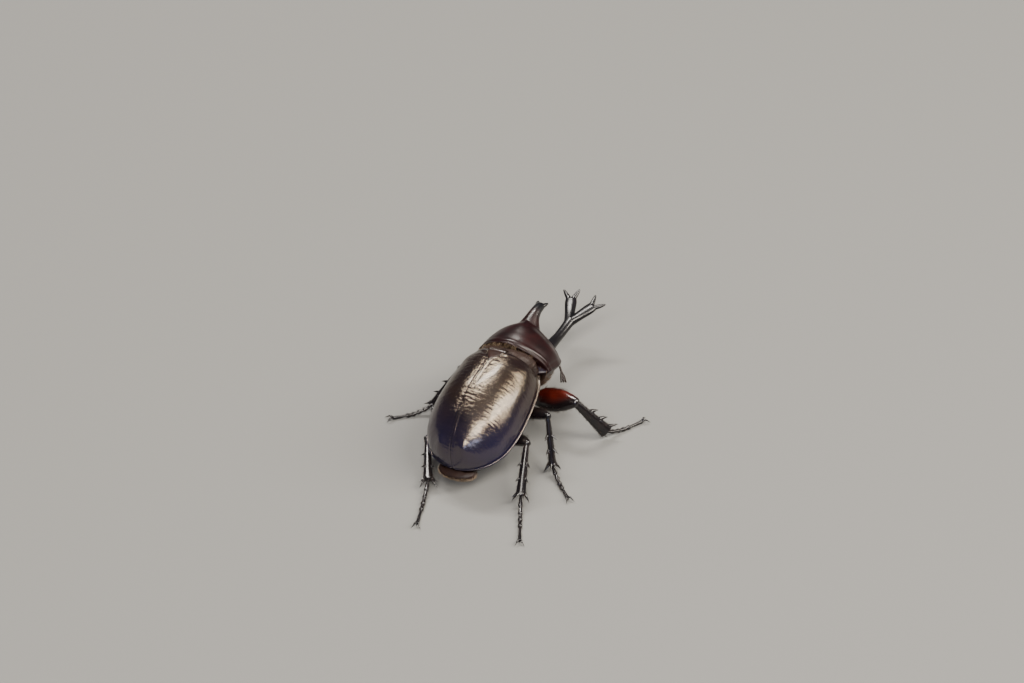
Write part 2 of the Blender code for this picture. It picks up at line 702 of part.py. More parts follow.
def horn_place(along):
    """A point of the head horn's curved stem and its pitch there."""
    start = math.radians(HORN_START_PITCH)
    rate = math.radians(HORN_BEND) / HORN_STEM
    pitch = start + rate * along
    y = (math.sin(pitch) - math.sin(start)) / rate
    z = (math.cos(start) - math.cos(pitch)) / rate
    return Vector(HORN_ROOT) + Vector((0.0, y, z)), pitch


def cephalic_horn(name, parent):
    """The long horn of the head: a stem, two arms and two prongs on each arm."""
    path = []
    sizes = []
    for k in range(8):
        fraction = k / 7.0
        place, _ = horn_place(HORN_STEM * fraction)
        path.append(place)
        width = value_at([(row[0], row[1]) for row in HORN_SIZES], fraction)
        sizes.append((width, value_at([(row[0], row[2]) for row in HORN_SIZES], fraction)))
    made = sweep(name, path, sizes, "black_shell", parent, sides=8, blunt=0.5)
    fork, pitch = horn_place(HORN_STEM - 0.4)
    ahead = Vector((0.0, math.cos(pitch), math.sin(pitch)))
    lift = Vector((0.0, -math.sin(pitch), math.cos(pitch)))
    pieces = []
    for sign in (-1, 1):
        turn = math.radians(ARM_SPREAD)
        aside = Vector((sign, 0.0, 0.0))
        out = ahead * math.cos(turn) + aside * math.sin(turn)
        across = ahead * -math.sin(turn) + aside * math.cos(turn)
        start = fork + aside * 0.3
        path = [start + out * ARM_LENGTH * f + lift * ARM_LIFT * f * f for f, _, _ in ARM_SIZES]
        sizes = [row[1:] for row in ARM_SIZES]
        pieces.append(sweep("arm", path, sizes, "black_shell", parent, sides=6, blunt=0.6, across=across))
        palm = path[-1] - out * 0.9
        for inner in (-1, 1):
            fan = math.radians(PRONG_SPREAD)
            way = out * math.cos(fan) + across * inner * math.sin(fan)
            prong = [palm + way * PRONG_LENGTH * f + lift * PRONG_LIFT * f * f for f in (0.0, 0.4, 0.75, 1.0)]
            pieces.append(sweep("prong", prong, PRONG_SIZES, "black_shell", parent, sides=5, across=across))
    fuse(made, pieces)
    return made


def prosternum(parent):
    """The underside of the prothorax, whose hind face slants to clear the next segment."""
    rings = []
    for y in PROSTERNUM_STATIONS:
        s = (y + 1.0) / PRONOTUM_LENGTH
        half_width = PRONOTUM_HALF_WIDTH * value_at(PRONOTUM_OUTLINE, s) - PROSTERNUM_INSET
        top = pronotum_underside(s) - GAP
        depth = value_at(PROSTERNUM_DEPTH, y)
        slant = max(0.0, 1.0 - (y - PROSTERNUM_STATIONS[0]) / PROSTERNUM_SLANT_LENGTH)
        upper_y = y - PROSTERNUM_SET_BACK * slant
        ring = [(u * half_width, upper_y, top) for u in (-1.0, -0.5, 0.0, 0.5, 1.0)]
        for u in (0.94, 0.78, 0.55, 0.28, 0.0, -0.28, -0.55, -0.78, -0.94):
            z = top - (depth + top) * superellipse(u, PROSTERNUM_ROUNDNESS)
            ring.append((u * half_width, upper_y + PROSTERNUM_SLANT * slant * (top - z), z))
        rings.append(ring)
    return loft("prosternum", rings, "dark_brown_shell", parent)


def head(parent):
    """The small head, with a shovel-shaped front edge and a stub that carries the long horn."""
    rings = []
    for y, half_width, top, bottom in HEAD_STATIONS:
        rings.append(oval_ring(y, half_width, top, bottom, 14, 0.5 * (top + bottom), 0.75))
    made = loft("head", rings, "black_shell", parent)
    stub = cephalic_horn("cephalic_horn_stub", parent)
    split_at(stub, HORN_ROOT[1] + HORN_COLLAR, keep_ahead=False)
    fuse(made, [stub])
    return made


def antenna(side, parent):
    """A short elbowed feeler that ends in a club of three leaves."""
    sign = SIDES[side]
    path = [(sign * x, y, z) for x, y, z in ANTENNA_PATH]
    sizes = [(radius, radius) for radius in ANTENNA_RADII]
    made = sweep("antenna_" + side, path, sizes, "dark_brown_shell", parent, sides=6, blunt=0.4)
    root = Vector(path[-1])
    ahead = (root - Vector(path[-2])).normalized()
    fan = Vector((0.0, 0.0, 1.0)).cross(ahead).normalized()
    leaves = []
    for k in range(CLUB_LEAVES):
        aside = k - 1
        way = (ahead + fan * aside * LEAF_LEAN).normalized()
        leaf = [root + way * CLUB_LENGTH * f + fan * aside * LEAF_OFFSET for f in (-0.08, 0.35, 0.92)]
        leaves.append(sweep("leaf", leaf, LEAF_SIZES, "dark_brown_shell", parent, 6, across=ahead.cross(fan)))
    fuse(made, leaves)
    return made


def palp(side, parent):
    """A jointed feeler beside the mouth."""
    sign = SIDES[side]
    path = [(sign * x, y, z) for x, y, z in PALP_PATH]
    sizes = [(radius, radius) for radius in PALP_RADII]
    return sweep("palp_" + side, path, sizes, "dark_brown_shell", parent, sides=6)


def mouthparts(parent):
    """Jaws and lip, one block under the head's front edge."""
    return sweep("mouthparts", MOUTH_PATH, MOUTH_SIZES, "dark_brown_shell", parent, sides=10)


def direction(sign, heading, elevation):
    """Unit vector from a heading outwards from straight ahead and an elevation, in degrees."""
    turn = math.radians(heading)
    rise = math.radians(elevation)
    return Vector((sign * math.sin(turn) * math.cos(rise), math.cos(turn) * math.cos(rise), math.sin(rise)))


def limb(name, place, side, angles, size, stations, material, parent, blunt=0.7, roll=0.0):
    """A leg segment built along its own +Y and turned to its heading and elevation."""
    length, wide, stoutness = size
    path = [(0.0, length * along, rise) for along, _, _, rise in stations]
    sizes = [(wide * share, thick * stoutness) for _, share, thick, _ in stations]
    made = sweep(name, path, sizes, material, parent, sides=8, blunt=blunt)
    heading, elevation = angles
    sign = SIDES[side]
    made.rotation_mode = "YXZ"
    made.rotation_euler = Euler([math.radians(a) for a in (elevation, sign * roll, -sign * heading)], "YXZ")
    made.location = Vector(place) * MM
    return made


def femur(kind, side, place, angles, parent):
    """The thigh: flat, widest past its middle, with a round knee."""
    material = "red_brown_shell" if kind == "front" else "dark_brown_shell"
    name = "femur_%s_%s" % (kind, side)
    size = (FEMUR_LENGTH[kind], FEMUR_HALF_WIDTH[kind], FEMUR_STOUTNESS[kind])
    return limb(name, place, side, angles, size, FEMUR_STATIONS, material, parent, roll=FEMUR_ROLL[kind])


def tibia_spines(kind, side, length):
    """Root, direction, length and radius of each thorn, in the segment's own frame."""
    sign = SIDES[side]
    wide = TIBIA_HALF_WIDTH[kind]
    thorns = []
    if kind == "front":
        for along, long in DIGGING_TEETH:
            root = (sign * -0.55 * wide, length * along - 0.6, 0.0)
            thorns.append((root, (sign * -1.0, 0.55, 0.1), long + 0.6, TOOTH_RADIUS))
        spur_root = (sign * 0.5 * wide, length * 0.97, -0.2)
        thorns.append((spur_root, (sign * 0.2, 1.0, -0.25), FRONT_SPUR, THORN_RADIUS))
        return thorns
    for along in THORN_PAIRS:
        for lean in (-1.0, 1.0):
            root = (lean * 0.5 * wide, length * along, 0.2)
            thorns.append((root, (lean, 0.9, 0.9), THORN_LENGTH, THORN_RADIUS))
    for turn in CROWN_TURNS:
        c, s = math.cos(math.radians(turn)), math.sin(math.radians(turn))
        root = (0.8 * wide * c, length * CROWN_PLACE, 0.5 * s)
        thorns.append((root, (0.9 * c, 0.8, 0.9 * s), THORN_LENGTH, THORN_RADIUS))
    for lean in (-1.0, 1.0):
        root = (lean * 0.9, length * CROWN_PLACE, -0.5)
        thorns.append((root, (lean * 0.75, 1.0, -0.35), HIND_SPUR, THORN_RADIUS))
    return thorns


def tibia(kind, side, place, angles, parent):
    """The shin: slender at the knee, flared at its end, with thorns."""
    length = TIBIA_LENGTH[kind]
    name = "tibia_%s_%s" % (kind, side)
    size = (length, TIBIA_HALF_WIDTH[kind], TIBIA_STOUTNESS[kind])
    made = limb(name, place, side, angles, size, TIBIA_STATIONS, "black_shell", parent, 0.0, TIBIA_ROLL[kind])
    thorns = []
    for root, way, long, radius in tibia_spines(kind, side, length):
        thorns.append(spine("thorn", root, way, long, radius, made))
    fuse(made, thorns)
    return made


def foot_path(length, start_height):
    """The foot's line: down from the shin's end, then along the floor."""
    points = []
    for k in range(FOOT_STEPS + 1):
        along = k / FOOT_STEPS
        fall = max(0.0, 1.0 - along / FOOT_FALL) ** 1.8
        points.append(Vector((0.0, length * along, FOOT_HEIGHT + (start_height - FOOT_HEIGHT) * fall)))
    return points


def claw(tip, sign, parent):
    """One hooked claw at the end of a foot."""
    out = Vector((sign * 0.42, 0.9, 0.0)).normalized()
    path = []
    for f in (-0.15, 0.3, 0.65, 1.0):
        rise = 0.45 * math.sin(math.pi * f) - 0.2 * f
        path.append(tip + out * CLAW_LENGTH * f + Vector((0.0, 0.0, rise)))
    return sweep("claw", path, CLAW_SIZES, "black_shell", parent, sides=5)


def tarsus(kind, side, place, heading, parent):
    """The foot: five joints, each widest at its end, and two hooked claws."""
    path = foot_path(TARSUS_LENGTH[kind], place[2])
    sizes = []
    for k in range(len(path)):
        phase = k % 2 if k < 8 else 0.3
        sizes.append((FOOT_RADIUS + 0.2 * phase, FOOT_RADIUS + 0.16 * phase))
    name = "tarsus_%s_%s" % (kind, side)
    made = sweep(name, path, sizes, "black_shell", parent, sides=6, blunt=0.8)
    fuse(made, [claw(path[-1], sign, parent) for sign in (-1, 1)])
    made.rotation_mode = "YXZ"
    made.rotation_euler = Euler((0.0, 0.0, math.radians(-SIDES[side] * heading)), "YXZ")
    made.location = Vector((place[0], place[1], 0.0)) * MM
    floor = box("floor_cutter", (-80.0, -80.0, -20.0), (80.0, 80.0, 0.0), parent)
    cut(made, floor)
    return made


def leg(kind, side, hip, coxa, trunk, parent):
    """Thigh, shin and foot of one leg, each cut to meet the one before it."""
    angles = LEG_ANGLES[(kind, side)]
    sign = SIDES[side]
    knee = hip + direction(sign, angles[0], angles[1]) * FEMUR_LENGTH[kind]
    ankle = knee + direction(sign, angles[2], angles[3]) * TIBIA_LENGTH[kind]
    thigh = femur(kind, side, hip, angles[0:2], parent)
    clear_of(thigh, coxa, *trunk)
    shin = tibia(kind, side, knee, angles[2:4], parent)
    clear_of(shin, thigh)
    foot = tarsus(kind, side, ankle, angles[4], parent)
    length = TIBIA_LENGTH[kind]
    end_block = box("ankle_cutter", (-9.0, length - 9.0, -9.0), (9.0, length + GAP, 9.0), parent)
    end_block.rotation_mode = "YXZ"
    end_block.rotation_euler = shin.rotation_euler
    end_block.location = shin.location
    cut(foot, end_block)


def main():
    for old in list(bpy.data.objects):
        bpy.data.objects.remove(old)
    ground = empty("beetle", (-BOX_CENTRE_X, -BOX_CENTRE_Y, 0.0), (0.0, 0.0, 0.0), None)
    body_turn = (BODY_PITCH, BODY_LEAN, 0.0)
    stance = empty("stance", (0.0, 0.0, NECK_HEIGHT), body_turn, ground)
    flex = (PROTHORAX_FLEX, PROTHORAX_LEAN, PROTHORAX_TURN)
    prothorax = empty("prothorax_joint", PROTHORAX_PIVOT, flex, stance)
    body_frame = frame_matrix((0.0, 0.0, NECK_HEIGHT), body_turn)
    prothorax_frame = body_frame @ frame_matrix(PROTHORAX_PIVOT, flex)

    shield = pronotum(prothorax)
    breast = prosternum(prothorax)
    skull_frame = hinge("head_joint", HEAD_PIVOT, HEAD_TURN, prothorax)
    skull = head(skull_frame)
    clear_of(skull, shield, breast)
    short_horn = thoracic_horn("thoracic_horn", prothorax)
    split_at(short_horn, THORN_SPLIT + GAP, keep_ahead=True)
    clear_of(short_horn, shield)
    long_horn = cephalic_horn("cephalic_horn", skull_frame)
    split_at(long_horn, HORN_ROOT[1] + HORN_COLLAR + GAP, keep_ahead=True)
    clear_of(long_horn, skull)
    for side, sign in SIDES.items():
        place = (sign * EYE_PLACE[0], EYE_PLACE[1], EYE_PLACE[2])
        eye = ellipsoid("eye_" + side, place, (EYE_RADIUS,) * 3, "eye_black", skull_frame, 8, 6)
        clear_of(eye, skull, shield, breast)
        feeler = antenna(side, skull_frame)
        clear_of(feeler, skull, eye)
    jaws = mouthparts(skull_frame)
    clear_of(jaws, skull, breast)
    for side in SIDES:
        clear_of(palp(side, skull_frame), skull, jaws)

    for side in SIDES:
        elytron(side, stance)
    chest = metathorax(stance)
    abdomen(stance)
    plate = pygidium(stance)
    clear_of(plate, bpy.data.objects["abdomen"])
    shield_plate = scutellum(stance)
    neck = mesothorax(stance)
    clear_of(neck, shield, breast, chest, shield_plate)

    for kind in ("front", "middle", "hind"):
        carrier = prothorax if kind == "front" else stance
        frame = prothorax_frame if kind == "front" else body_frame
        trunk = [breast, neck] if kind == "front" else [chest, bpy.data.objects["abdomen"]]
        for side, sign in SIDES.items():
            place = (sign * COXA_PLACE[kind][0], COXA_PLACE[kind][1], COXA_PLACE[kind][2])
            name = "coxa_%s_%s" % (kind, side)
            coxa = ellipsoid(name, place, COXA_RADII[kind], "dark_brown_shell", carrier, 10, 6)
            clear_of(coxa, *trunk)
            hip = frame @ Vector((sign * HIP_PLACE[kind][0], HIP_PLACE[kind][1], HIP_PLACE[kind][2]))
            leg(kind, side, hip, coxa, trunk, ground)
    clear_of(plate, bpy.data.objects["tibia_hind_left"])


main()
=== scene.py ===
# %% [markdown]
# # A male rhinoceros beetle, life size
# The beetle stands on its six feet with its head low and its wing cases closed. The packed
# solids give every part its place. This script lays the finished surfaces over them: shells with
# beads, grooves and swellings, jointed feet, hairs and bristles, and a finish for each kind of
# shell. Sizes are in millimetres, and each mesh becomes metres when it is put in its place.

# %% Load the frame
import math

import bmesh
import bpy
import numpy as np
from mathutils import Euler, Matrix, Vector


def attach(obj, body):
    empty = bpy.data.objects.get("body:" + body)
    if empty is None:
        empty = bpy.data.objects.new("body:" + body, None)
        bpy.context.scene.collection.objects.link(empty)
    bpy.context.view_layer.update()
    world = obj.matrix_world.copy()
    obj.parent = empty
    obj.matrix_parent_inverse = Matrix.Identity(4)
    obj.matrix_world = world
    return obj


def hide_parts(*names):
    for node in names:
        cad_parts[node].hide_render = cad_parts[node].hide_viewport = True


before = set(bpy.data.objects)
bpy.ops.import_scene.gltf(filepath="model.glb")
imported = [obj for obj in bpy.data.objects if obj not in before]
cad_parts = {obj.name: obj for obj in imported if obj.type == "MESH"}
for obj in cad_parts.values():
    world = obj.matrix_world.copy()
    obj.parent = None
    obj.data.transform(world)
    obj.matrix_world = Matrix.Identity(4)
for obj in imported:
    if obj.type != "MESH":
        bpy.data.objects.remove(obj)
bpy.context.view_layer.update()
MM = 0.001
SIDES = {"right": 1, "left": -1}

# %% [markdown]
# ## Four frames of reference
# A beetle's body bends only where its plates meet, so four frames are enough. The floor frame
# is upright. The body frame is pitched and leans a little, with its origin at the neck. The
# prothorax frame hangs on it and nods down, and the head frame turns a little to the right in
# it. A matrix for each lets every part be modelled where it is easy to think about, and then be
# put in its place with one product.

# %% Frames
BOX_CENTRE = (2.122, -2.611)
NECK_HEIGHT = 18.0
BODY_TURN = (19.0, -9.0, 0.0)
PROTHORAX_PIVOT = (0.0, 1.0, -1.0)
PROTHORAX_TURN = (-33.0, 5.0, 3.0)
HEAD_PIVOT = (0.0, 12.5, -2.5)
HEAD_TURN = (0.0, 5.5, -0.5)


def turn_matrix(degrees):
    """Leans about Y, then X, then Z, in degrees."""
    return Euler([math.radians(a) for a in degrees], "YXZ").to_matrix().to_4x4()


FLOOR_FRAME = Matrix.Translation((-BOX_CENTRE[0], -BOX_CENTRE[1], 0.0))
BODY_FRAME = FLOOR_FRAME @ Matrix.Translation((0.0, 0.0, NECK_HEIGHT)) @ turn_matrix(BODY_TURN)
PROTHORAX_FRAME = BODY_FRAME @ Matrix.Translation(PROTHORAX_PIVOT) @ turn_matrix(PROTHORAX_TURN)
neck_shift = Matrix.Translation(HEAD_PIVOT)
HEAD_FRAME = PROTHORAX_FRAME @ neck_shift @ turn_matrix(HEAD_TURN) @ neck_shift.inverted()
print("the neck is at", [round(v, 1) for v in BODY_FRAME.translation], "mm")

# %% [markdown]
# ## Camera, floor and lamps
# The camera stands behind the beetle's right side and looks down at about forty degrees. Shiny
# dark shell shows its lamps more than its colour, so each lamp stands where a wing case mirrors
# it for the camera. Three strips hang a metre up, one long and two shorter, and give the gleams
# on the wing cases and on the shield. A bluish panel behind tints the rear. A wide dim ceiling
# and a dim bluish world fill the shadows.

# %% Camera
# Seen from the floor below the neck
CAMERA_PLACE = (232.034, -442.857, 428.8)
CAMERA_TILT = 51.26
CAMERA_ROLL = 0.34
CAMERA_TURN = 27.24
CAMERA_LENS = 85.0
SENSOR_WIDTH = 36.0


def new_object(name, data):
    """An object of the scene that shows the given data."""
    made = bpy.data.objects.new(name, data)
    bpy.context.scene.collection.objects.link(made)
    return made


camera_data = bpy.data.cameras.new("camera")
camera_data.lens = CAMERA_LENS
camera_data.sensor_width = SENSOR_WIDTH
camera_data.clip_start = 0.01
camera_data.clip_end = 20.0
camera = new_object("camera", camera_data)
camera.location = FLOOR_FRAME @ Vector(CAMERA_PLACE) * MM
camera.rotation_euler = [math.radians(a) for a in (CAMERA_TILT, CAMERA_ROLL, CAMERA_TURN)]
bpy.context.scene.camera = camera
print("camera", round(camera.location.length, 3), "m from the origin")

# %% Floor
FLOOR_HALF = 3.0
FLOOR_DROP = 0.0002


def new_material(name):
    """A node material with only its Principled shader, whose nodes the caller adds to."""
    made = bpy.data.materials.new(name)
    made.use_nodes = True
    return made, made.node_tree, made.node_tree.nodes["Principled BSDF"]


floor_finish, _, floor_shader = new_material("floor")
floor_shader.inputs["Base Color"].default_value = (0.135, 0.135, 0.13, 1.0)
floor_shader.inputs["Roughness"].default_value = 0.8
floor_shader.inputs["Specular IOR Level"].default_value = 0.2

floor_mesh = bpy.data.meshes.new("floor")
corners = [(x * FLOOR_HALF, y * FLOOR_HALF) for x, y in ((-1, -1), (1, -1), (1, 1), (-1, 1))]
floor_mesh.from_pydata([(x, y, -FLOOR_DROP) for x, y in corners], [], [(0, 1, 2, 3)])
floor_mesh.materials.append(floor_finish)
floor = new_object("floor", floor_mesh)
print("floor", 2 * FLOOR_HALF, "m wide")

# %% Lamps
WORLD_COLOUR = (0.33, 0.36, 0.52)
WORLD_STRENGTH = 0.15
# Name, place in metres, turn in degrees, width, length, power and colour
LAMPS = (
    ("front_strip", (1.38, 0.60, 1.0), (0, 0, -50), 0.32, 2.3, 90.0, (1.0, 0.93, 0.82)),
    ("side_strip", (0.22, -0.85, 1.0), (0, 0, -24), 0.34, 1.1, 36.0, (1.0, 0.93, 0.84)),
    ("left_strip", (-0.48, 0.36, 1.0), (0, 0, -72), 0.15, 0.7, 24.0, (1.0, 0.95, 0.88)),
    ("ceiling", (0.0, 0.0, 1.8), (0, 0, 0), 1.8, 1.8, 7.0, (1.0, 0.97, 0.94)),
    ("rear_panel", (0.3, -1.0, 0.5), (65, 0, 17), 0.25, 0.2, 2.4, (0.50, 0.60, 1.0)),
)

world = bpy.data.worlds.new("studio")
world.use_nodes = True
world.node_tree.nodes["Background"].inputs["Color"].default_value = (*WORLD_COLOUR, 1.0)
world.node_tree.nodes["Background"].inputs["Strength"].default_value = WORLD_STRENGTH
bpy.context.scene.world = world

for lamp_name, place, turn, width, length, power, colour in LAMPS:
    lamp_data = bpy.data.lights.new(lamp_name, "AREA")
    lamp_data.shape = "RECTANGLE"
    lamp_data.size = width
    lamp_data.size_y = length
    lamp_data.energy = power
    lamp_data.color = colour
    lamp = new_object(lamp_name, lamp_data)
    lamp.location = place
    lamp.rotation_euler = [math.radians(a) for a in turn]
print(len(LAMPS), "lamps")

# %% [markdown]
# ## Finishes
# An insect's shell is one material in many colours: hard, smooth and slightly see-through at the
# surface. Each finish is a Principled shader with a dark base and a low roughness. What tells
# them apart is fine relief, so each has its own bump: cross ripples on the wing cases, pits
# on the shield, horns and legs. Patterns are read from Object coordinates, as every piece sits
# at the origin with its place in its mesh.

# %% Node helpers
# Where on the noise the dark tone ends and the light one begins
CLOUD_EDGES = (0.35, 0.7)


def feed(tree, kind, inputs=(), **settings):
    """Adds a node and gives its inputs sockets to link to or plain values."""
    node = tree.nodes.new(kind)
    for key, value in settings.items():
        setattr(node, key, value)
    for key, source in dict(inputs).items():
        if isinstance(source, bpy.types.NodeSocket):
            tree.links.new(source, node.inputs[key])
        else:
            node.inputs[key].default_value = source
    return node.outputs


def maths(tree, operation, a, b=0.0):
    return feed(tree, "ShaderNodeMath", {0: a, 1: b}, operation=operation)[0]


def object_pattern(tree, kind, per_mm, detail=2.0, turn=(0.0, 0.0, 0.0)):
    """A noise or cell texture on Object coordinates, with so many features to a millimetre."""
    place = {
        "Vector": feed(tree, "ShaderNodeTexCoord")["Object"],
        "Rotation": [math.radians(a) for a in turn], "Scale": [v / MM for v in per_mm],
    }
    inputs = {"Vector": feed(tree, "ShaderNodeMapping", place)["Vector"], "Scale": 1.0}
    if kind == "ShaderNodeTexNoise":
        inputs["Detail"] = detail
    return feed(tree, kind, inputs)


def add_bump(tree, shader, height, strength, depth, below=None):
    """Bump nodes in a chain, so that several reliefs add up on one surface."""
    inputs = {"Height": height, "Strength": strength, "Distance": depth * MM}
    if below is not None:
        inputs["Normal"] = below
    bump = feed(tree, "ShaderNodeBump", inputs)["Normal"]
    tree.links.new(bump, shader.inputs["Normal"])
    return bump


def set_gloss(shader, roughness, specular=0.5, tint=(1.0, 1.0, 1.0), coat=0.0, coat_roughness=0.1):
    """Two layers of gloss: the shell's own, which may be tinted, and a clear coat over it."""
    shader.inputs["Roughness"].default_value = roughness
    shader.inputs["Specular IOR Level"].default_value = specular
    shader.inputs["Specular Tint"].default_value = (*tint, 1.0)
    shader.inputs["Coat Weight"].default_value = coat
    shader.inputs["Coat Roughness"].default_value = coat_roughness


def cloudy_colour(tree, shader, per_mm, dark, light):
    """A base colour that drifts between two tones."""
    cloud = object_pattern(tree, "ShaderNodeTexNoise", (per_mm,) * 3, 3.0)["Fac"]
    tone = feed(tree, "ShaderNodeValToRGB", {"Fac": cloud})["Color"]
    for element, place, colour in zip(tone.node.color_ramp.elements, CLOUD_EDGES, (dark, light)):
        element.position = place
        element.color = (*colour, 1.0)
    tree.links.new(tone, shader.inputs["Base Color"])


# %% Wing-case finish
RIPPLE_TURN = (-19.0, 9.0, 0.0)


def wing_case_finish():
    """Chocolate shell whose fine cross ripples scatter a lamp widely, under a clear coat."""
    made, tree, shader = new_material("bronze wing case")
    cloudy_colour(tree, shader, 0.12, (0.0045, 0.0025, 0.0032), (0.010, 0.0055, 0.0045))
    ripple = object_pattern(tree, "ShaderNodeTexNoise", (0.35, 1.9, 0.35), 4.0, RIPPLE_TURN)["Fac"]
    grain = object_pattern(tree, "ShaderNodeTexNoise", (6.0, 6.0, 6.0))["Fac"]
    first = add_bump(tree, shader, ripple, 1.0, 0.18)
    add_bump(tree, shader, grain, 0.4, 0.02, first)
    set_gloss(shader, 0.21, specular=0.8, tint=(1.0, 0.82, 0.60), coat=0.2, coat_roughness=0.12)
    return made


# %% Shield, horn and leg finishes
def pitted_finish(name, dark, light, roughness, pits_per_mm, pit_depth, specular=0.5, coat=0.2):
    """Smooth shell with fine pits and a cloudy tone between two colours."""
    made, tree, shader = new_material(name)
    cloudy_colour(tree, shader, 0.35, dark, light)
    cells = object_pattern(tree, "ShaderNodeTexVoronoi", (pits_per_mm,) * 3)["Distance"]
    grain = object_pattern(tree, "ShaderNodeTexNoise", (4.0, 4.0, 4.0))["Fac"]
    first = add_bump(tree, shader, maths(tree, "MINIMUM", cells, 0.35), 0.6, pit_depth)
    add_bump(tree, shader, grain, 0.2, 0.03, first)
    set_gloss(shader, roughness, specular=specular, coat=coat, coat_roughness=0.12)
    return made


def shaded_finish(made, far_colour):
    """The same finish, turning to a second colour where the mesh's shade value rises to 1."""
    tree = made.node_tree
    base = tree.nodes["Principled BSDF"].inputs["Base Color"]
    tone = base.links[0].from_socket
    shade = feed(tree, "ShaderNodeAttribute", attribute_name="shade")["Fac"]
    mix = feed(tree, "ShaderNodeMix", {0: shade, 6: tone, 7: (*far_colour, 1.0)}, data_type="RGBA")
    tree.links.new(mix[2], base)
    return made


# %% Hair and eye finishes
def hair_finish(name, dark, light, roughness=0.45, per_mm=1.5):
    """Hair colour, cloudy from strand to strand or, with a small per_mm, from patch to patch."""
    made, tree, shader = new_material(name)
    cloudy_colour(tree, shader, per_mm, dark, light)
    set_gloss(shader, roughness)
    return made


def eye_finish():
    """Polished black with a net of tiny facets."""
    made, tree, shader = new_material("faceted eye")
    shader.inputs["Base Color"].default_value = (0.006, 0.005, 0.005, 1.0)
    cells = object_pattern(tree, "ShaderNodeTexVoronoi", (9.0, 9.0, 9.0))["Distance"]
    add_bump(tree, shader, cells, 0.35, 0.02)
    set_gloss(shader, 0.12, coat=0.5, coat_roughness=0.05)
    return made


# %% All finishes
# Dark and light tone of each kind of shell
MAROON = ((0.005, 0.0012, 0.0013), (0.012, 0.0025, 0.0026))
BLACK = ((0.0025, 0.0024, 0.003), (0.006, 0.005, 0.006))
LEG_BLACK = ((0.003, 0.0025, 0.0035), (0.007, 0.005, 0.005))
THIGH_RED = ((0.026, 0.0024, 0.0014), (0.052, 0.0052, 0.0024))
PLATE_BROWN = ((0.007, 0.003, 0.002), (0.018, 0.007, 0.004))
SKIN_BROWN = ((0.008, 0.003, 0.002), (0.018, 0.007, 0.004))
# What the wing cases turn to, a painted purple reflection, and what the thighs of the front legs turn to
PAINTED_PURPLE_REFLECTION = (0.008, 0.008, 0.026)
KNEE_BLACK = (0.004, 0.0025, 0.003)
FINISH = {
    "bronze_shell": shaded_finish(wing_case_finish(), PAINTED_PURPLE_REFLECTION),
    "maroon_shell": pitted_finish("maroon shield", *MAROON, 0.34, 3.0, 0.05, 0.28, 0.06),
    "short_horn_shell": shaded_finish(
        pitted_finish("maroon and black horn", *MAROON, 0.3, 2.5, 0.05), BLACK[0]
    ),
    "black_shell": pitted_finish("black horn", *BLACK, 0.28, 2.5, 0.05, 0.3, 0.1),
    "leg_shell": pitted_finish("black leg", *LEG_BLACK, 0.24, 3.5, 0.06, 0.4, 0.15),
    "red_brown_shell": shaded_finish(
        pitted_finish("red-brown thigh", *THIGH_RED, 0.24, 2.5, 0.03, 0.5, 0.3), KNEE_BLACK
    ),
    "dark_brown_shell": pitted_finish("brown plates", *PLATE_BROWN, 0.32, 3.0, 0.05),
    "hairy_brown": pitted_finish("brown skin", *SKIN_BROWN, 0.55, 4.0, 0.05, 0.25, 0.0),
    "eye_black": eye_finish(),
    "golden_hair": hair_finish("golden hair", (0.08, 0.050, 0.028), (0.26, 0.19, 0.12)),
    "brown_hair": hair_finish("brown hair", (0.03, 0.013, 0.005), (0.10, 0.048, 0.018)),
    "neck_hair": hair_finish("neck hair", (0.007, 0.0035, 0.0025), (0.048, 0.026, 0.015), 0.5, 0.3),
    "dark_hair": hair_finish("dark bristles", (0.008, 0.004, 0.003), (0.028, 0.012, 0.006), 0.35),
    "orange_hair": hair_finish("mouth brush", (0.20, 0.055, 0.011), (0.32, 0.12, 0.028)),
}
print(len(FINISH), "finishes")

# %% [markdown]
# ## Building surfaces
# Most parts are lofts: a row of closed sections with the same number of points, skinned with
# quads. Parts that branch, such as horns and shins, are several overlapping lofts that a voxel
# Remesh modifier grows together, and a Smooth modifier then fills the creases, which gives the
# soft roots that real horns and spines have.

# %% Curves and sections
def curve_value(table, x):
    """Smooth curve through (place, value) pairs that never overshoots them."""
    if x <= table[0][0]:
        return table[0][1]
    if x >= table[-1][0]:
        return table[-1][1]
    slopes = [(b[1] - a[1]) / (b[0] - a[0]) for a, b in zip(table, table[1:])]
    i = max(k for k in range(len(slopes)) if table[k][0] <= x)
    tangents = [slopes[0]]
    for before, after in zip(slopes, slopes[1:]):
        tangents.append(0.0 if before * after <= 0.0 else 2.0 * before * after / (before + after))
    tangents.append(slopes[-1])
    span = table[i + 1][0] - table[i][0]
    t = (x - table[i][0]) / span
    rise = (1.0 + 2.0 * t) * (1.0 - t) ** 2 * table[i][1] + t * t * (3.0 - 2.0 * t) * table[i + 1][1]
    return rise + span * (t * (1.0 - t) ** 2 * tangents[i] - t * t * (1.0 - t) * tangents[i + 1])


def signed_power(value, power):
    return math.copysign(abs(value) ** power, value)


def mirrored(path, sign):
    """A path of the right side, or of the left where the sign is -1."""
    return [(sign * x, y, z) for x, y, z in path]


def spline(points, steps):
    """Points on a smooth curve through the given ones, steps to a span."""
    points = [np.array(p, float) for p in points]
    padded = [2 * points[0] - points[1]] + points + [2 * points[-1] - points[-2]]
    found = []
    for a, b, c, d in zip(padded, padded[1:], padded[2:], padded[3:]):
        for k in range(steps):
            t = k / steps
            second = (2 * a - 5 * b + 4 * c - d) * t**2
            third = (3 * b - a - 3 * c + d) * t**3
            found.append(0.5 * (2 * b + (c - a) * t + second + third))
    return found + [points[-1]]


